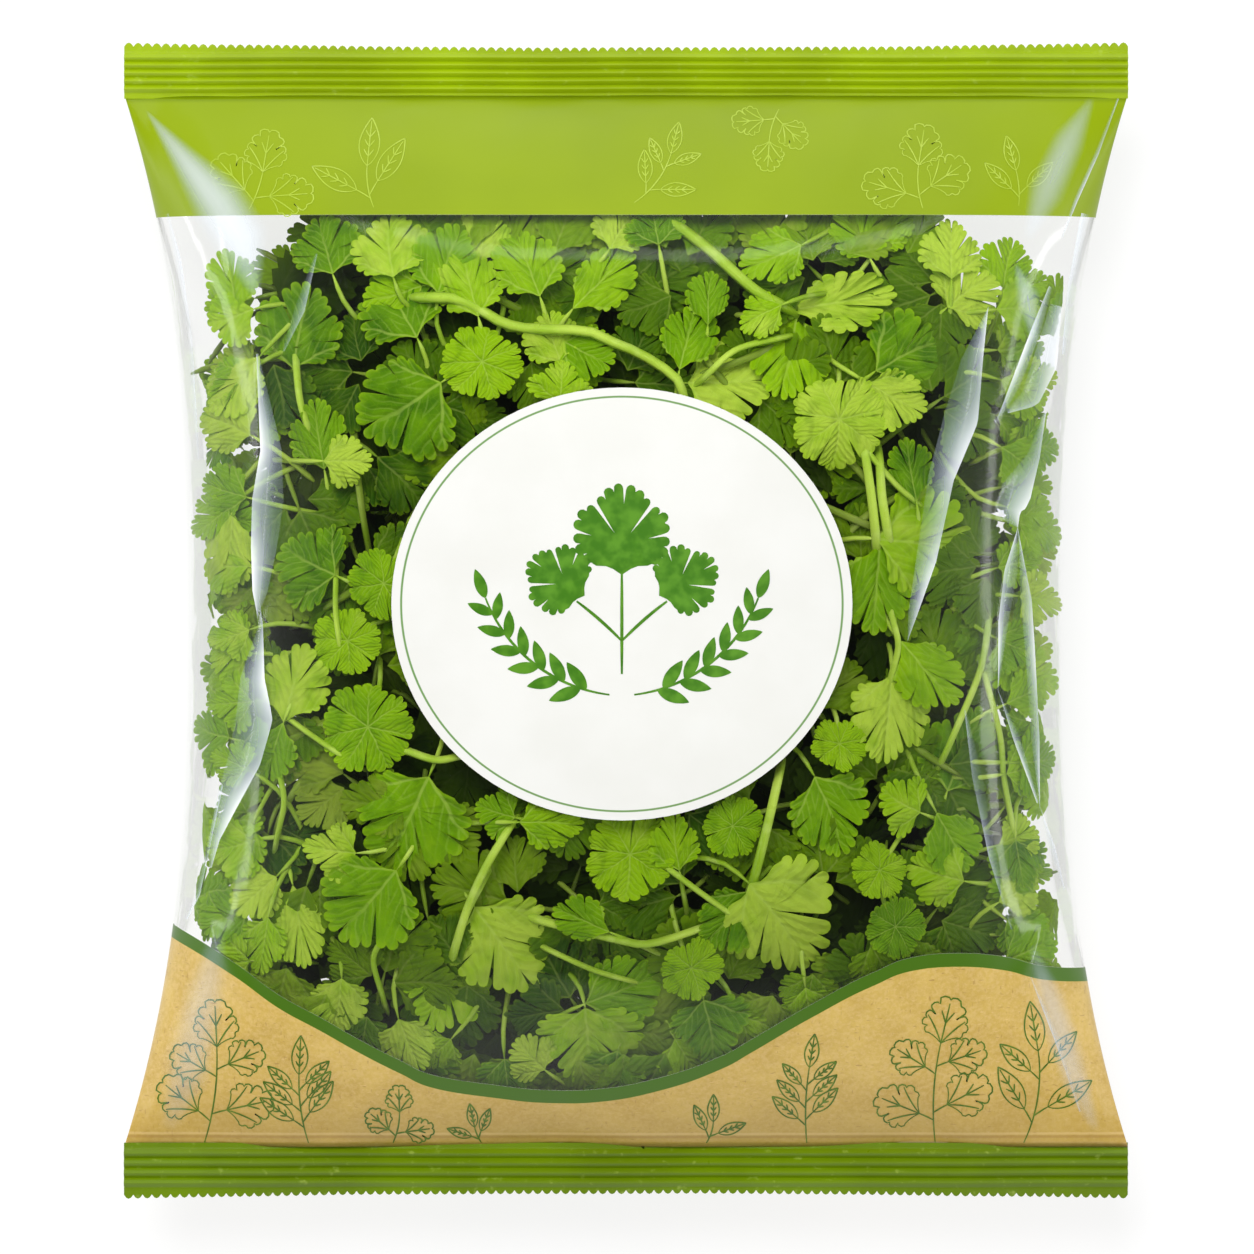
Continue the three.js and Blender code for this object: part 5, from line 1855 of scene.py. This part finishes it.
def pale_floor():
    pick_none()
    bpy.ops.mesh.primitive_plane_add(size=8)
    floor = bpy.context.active_object
    floor.name = "studio_floor"
    material, _, sockets = new_material("studio_floor")
    sockets["Base Color"].default_value = FLOOR_GREY
    sockets["Roughness"].default_value = 0.9
    sockets["Specular IOR Level"].default_value = 0.0
    sockets["Emission Color"].default_value = WHITE
    sockets["Emission Strength"].default_value = FLOOR_GLOW
    floor.data.materials.append(material)


def area_light(name, place, width, height, power, in_gloss):
    data = bpy.data.lights.new(name, "AREA")
    data.shape = "RECTANGLE"
    data.size = width
    data.size_y = height
    data.energy = power
    light = new_piece(name, data)
    light.location = place
    way = Vector(AIM.get(name, (0, 0, 0.03))) - Vector(place)
    light.rotation_euler = way.to_track_quat("-Z", "Y").to_euler()
    light.visible_glossy = in_gloss
    light.visible_camera = False


def studio():
    pale_floor()
    for light in LIGHTS:
        area_light(*light)
    world = bpy.data.worlds.new("studio_air")
    world.use_nodes = True
    world.cycles.sampling_method = "NONE"
    n = Nodes(world.node_tree)
    upward = n.split(n.add("ShaderNodeTexCoord").outputs["Generated"])[2]
    background = world.node_tree.nodes["Background"]
    n.wire(n.blend(n.step(upward, 0.3, 0.85), (1.3, 1.3, 1.3, 1), (0.1, 0.1, 0.1, 1)), background.inputs[0])
    background.inputs[1].default_value = 0.6
    bpy.context.scene.world = world
    data = bpy.data.cameras.new("camera")
    data.sensor_width = 36
    data.lens = CAMERA_LENS
    data.clip_end = 20
    camera = new_piece("camera", data)
    camera.location = CAMERA_PLACE
    bpy.context.scene.camera = camera
    bpy.context.scene.view_settings.view_transform = "Standard"


# ---------------------------------------------------------------- making it all

KINDS = {"fan": FAN, "wedge": WEDGE, "parted": THREE_PARTED, "rosette": ROSETTE}


def patterns_of(label, names, steps, rings):
    """Patterns of the named kinds, with the given steps along each tooth."""
    return [leaf_pattern(name + label, KINDS[name], steps, rings) for name in names]


FINE = dict(zip(KINDS, patterns_of("_fine", KINDS, (-1.0, -0.85, -0.45, 0.0, 0.45, 0.85), 4)))
MID = patterns_of("_mid", ("fan", "wedge", "parted"), (-1.0, -0.75, 0.0, 0.75), 3)
LOW = patterns_of("_low", ("fan", "parted"), (-1.0, -0.6, 0.6), 2)
DEEP = patterns_of("_deep", ("fan", "parted"), (-1.0, 0.0), 1)
STEM = tube_pattern("stem_pattern", 14, 22, 0.14)
STALK = tube_pattern("stalk_pattern", 6, 5, 0.0)
coriander_heap()

RIPPLE = film_ripple_group()
CLEAR_FILM = clear_film_material(RIPPLE)
FILM_GLARE_AND_MILKINESS = pleat_material()
bag_pillow(printed_film_material(RIPPLE, kraft_group(), film_print_group()), CLEAR_FILM)
film_folds(FILM_GLARE_AND_MILKINESS)
seal_band("film_top_seal", 1, RIDGES_TOP, seal_material("top_seal_film", SEAL_GREEN, RIPPLE))
seal_band("film_base_seal", -1, RIDGES_BOTTOM, seal_material("base_seal_film", BASE_SEAL_GREEN, RIPPLE))
fin_seal(CLEAR_FILM)
vent_rims(FILM_GLARE_AND_MILKINESS)
label_piece(label_material())
label_ornament(ink_material("label_ink", linear(58, 112, 16), linear(84, 138, 30)))
BASE_INK = ink_material("base_ink", linear(66, 98, 14), linear(92, 120, 30))
HEADER_INK = ink_material("header_ink", linear(160, 184, 52), linear(170, 192, 72))
drawings("base_drawings", BASE_SPRIGS, 0.4, BASE_INK)
drawings("header_drawings", HEADER_SPRIGS, 0.3, HEADER_INK)
studio()
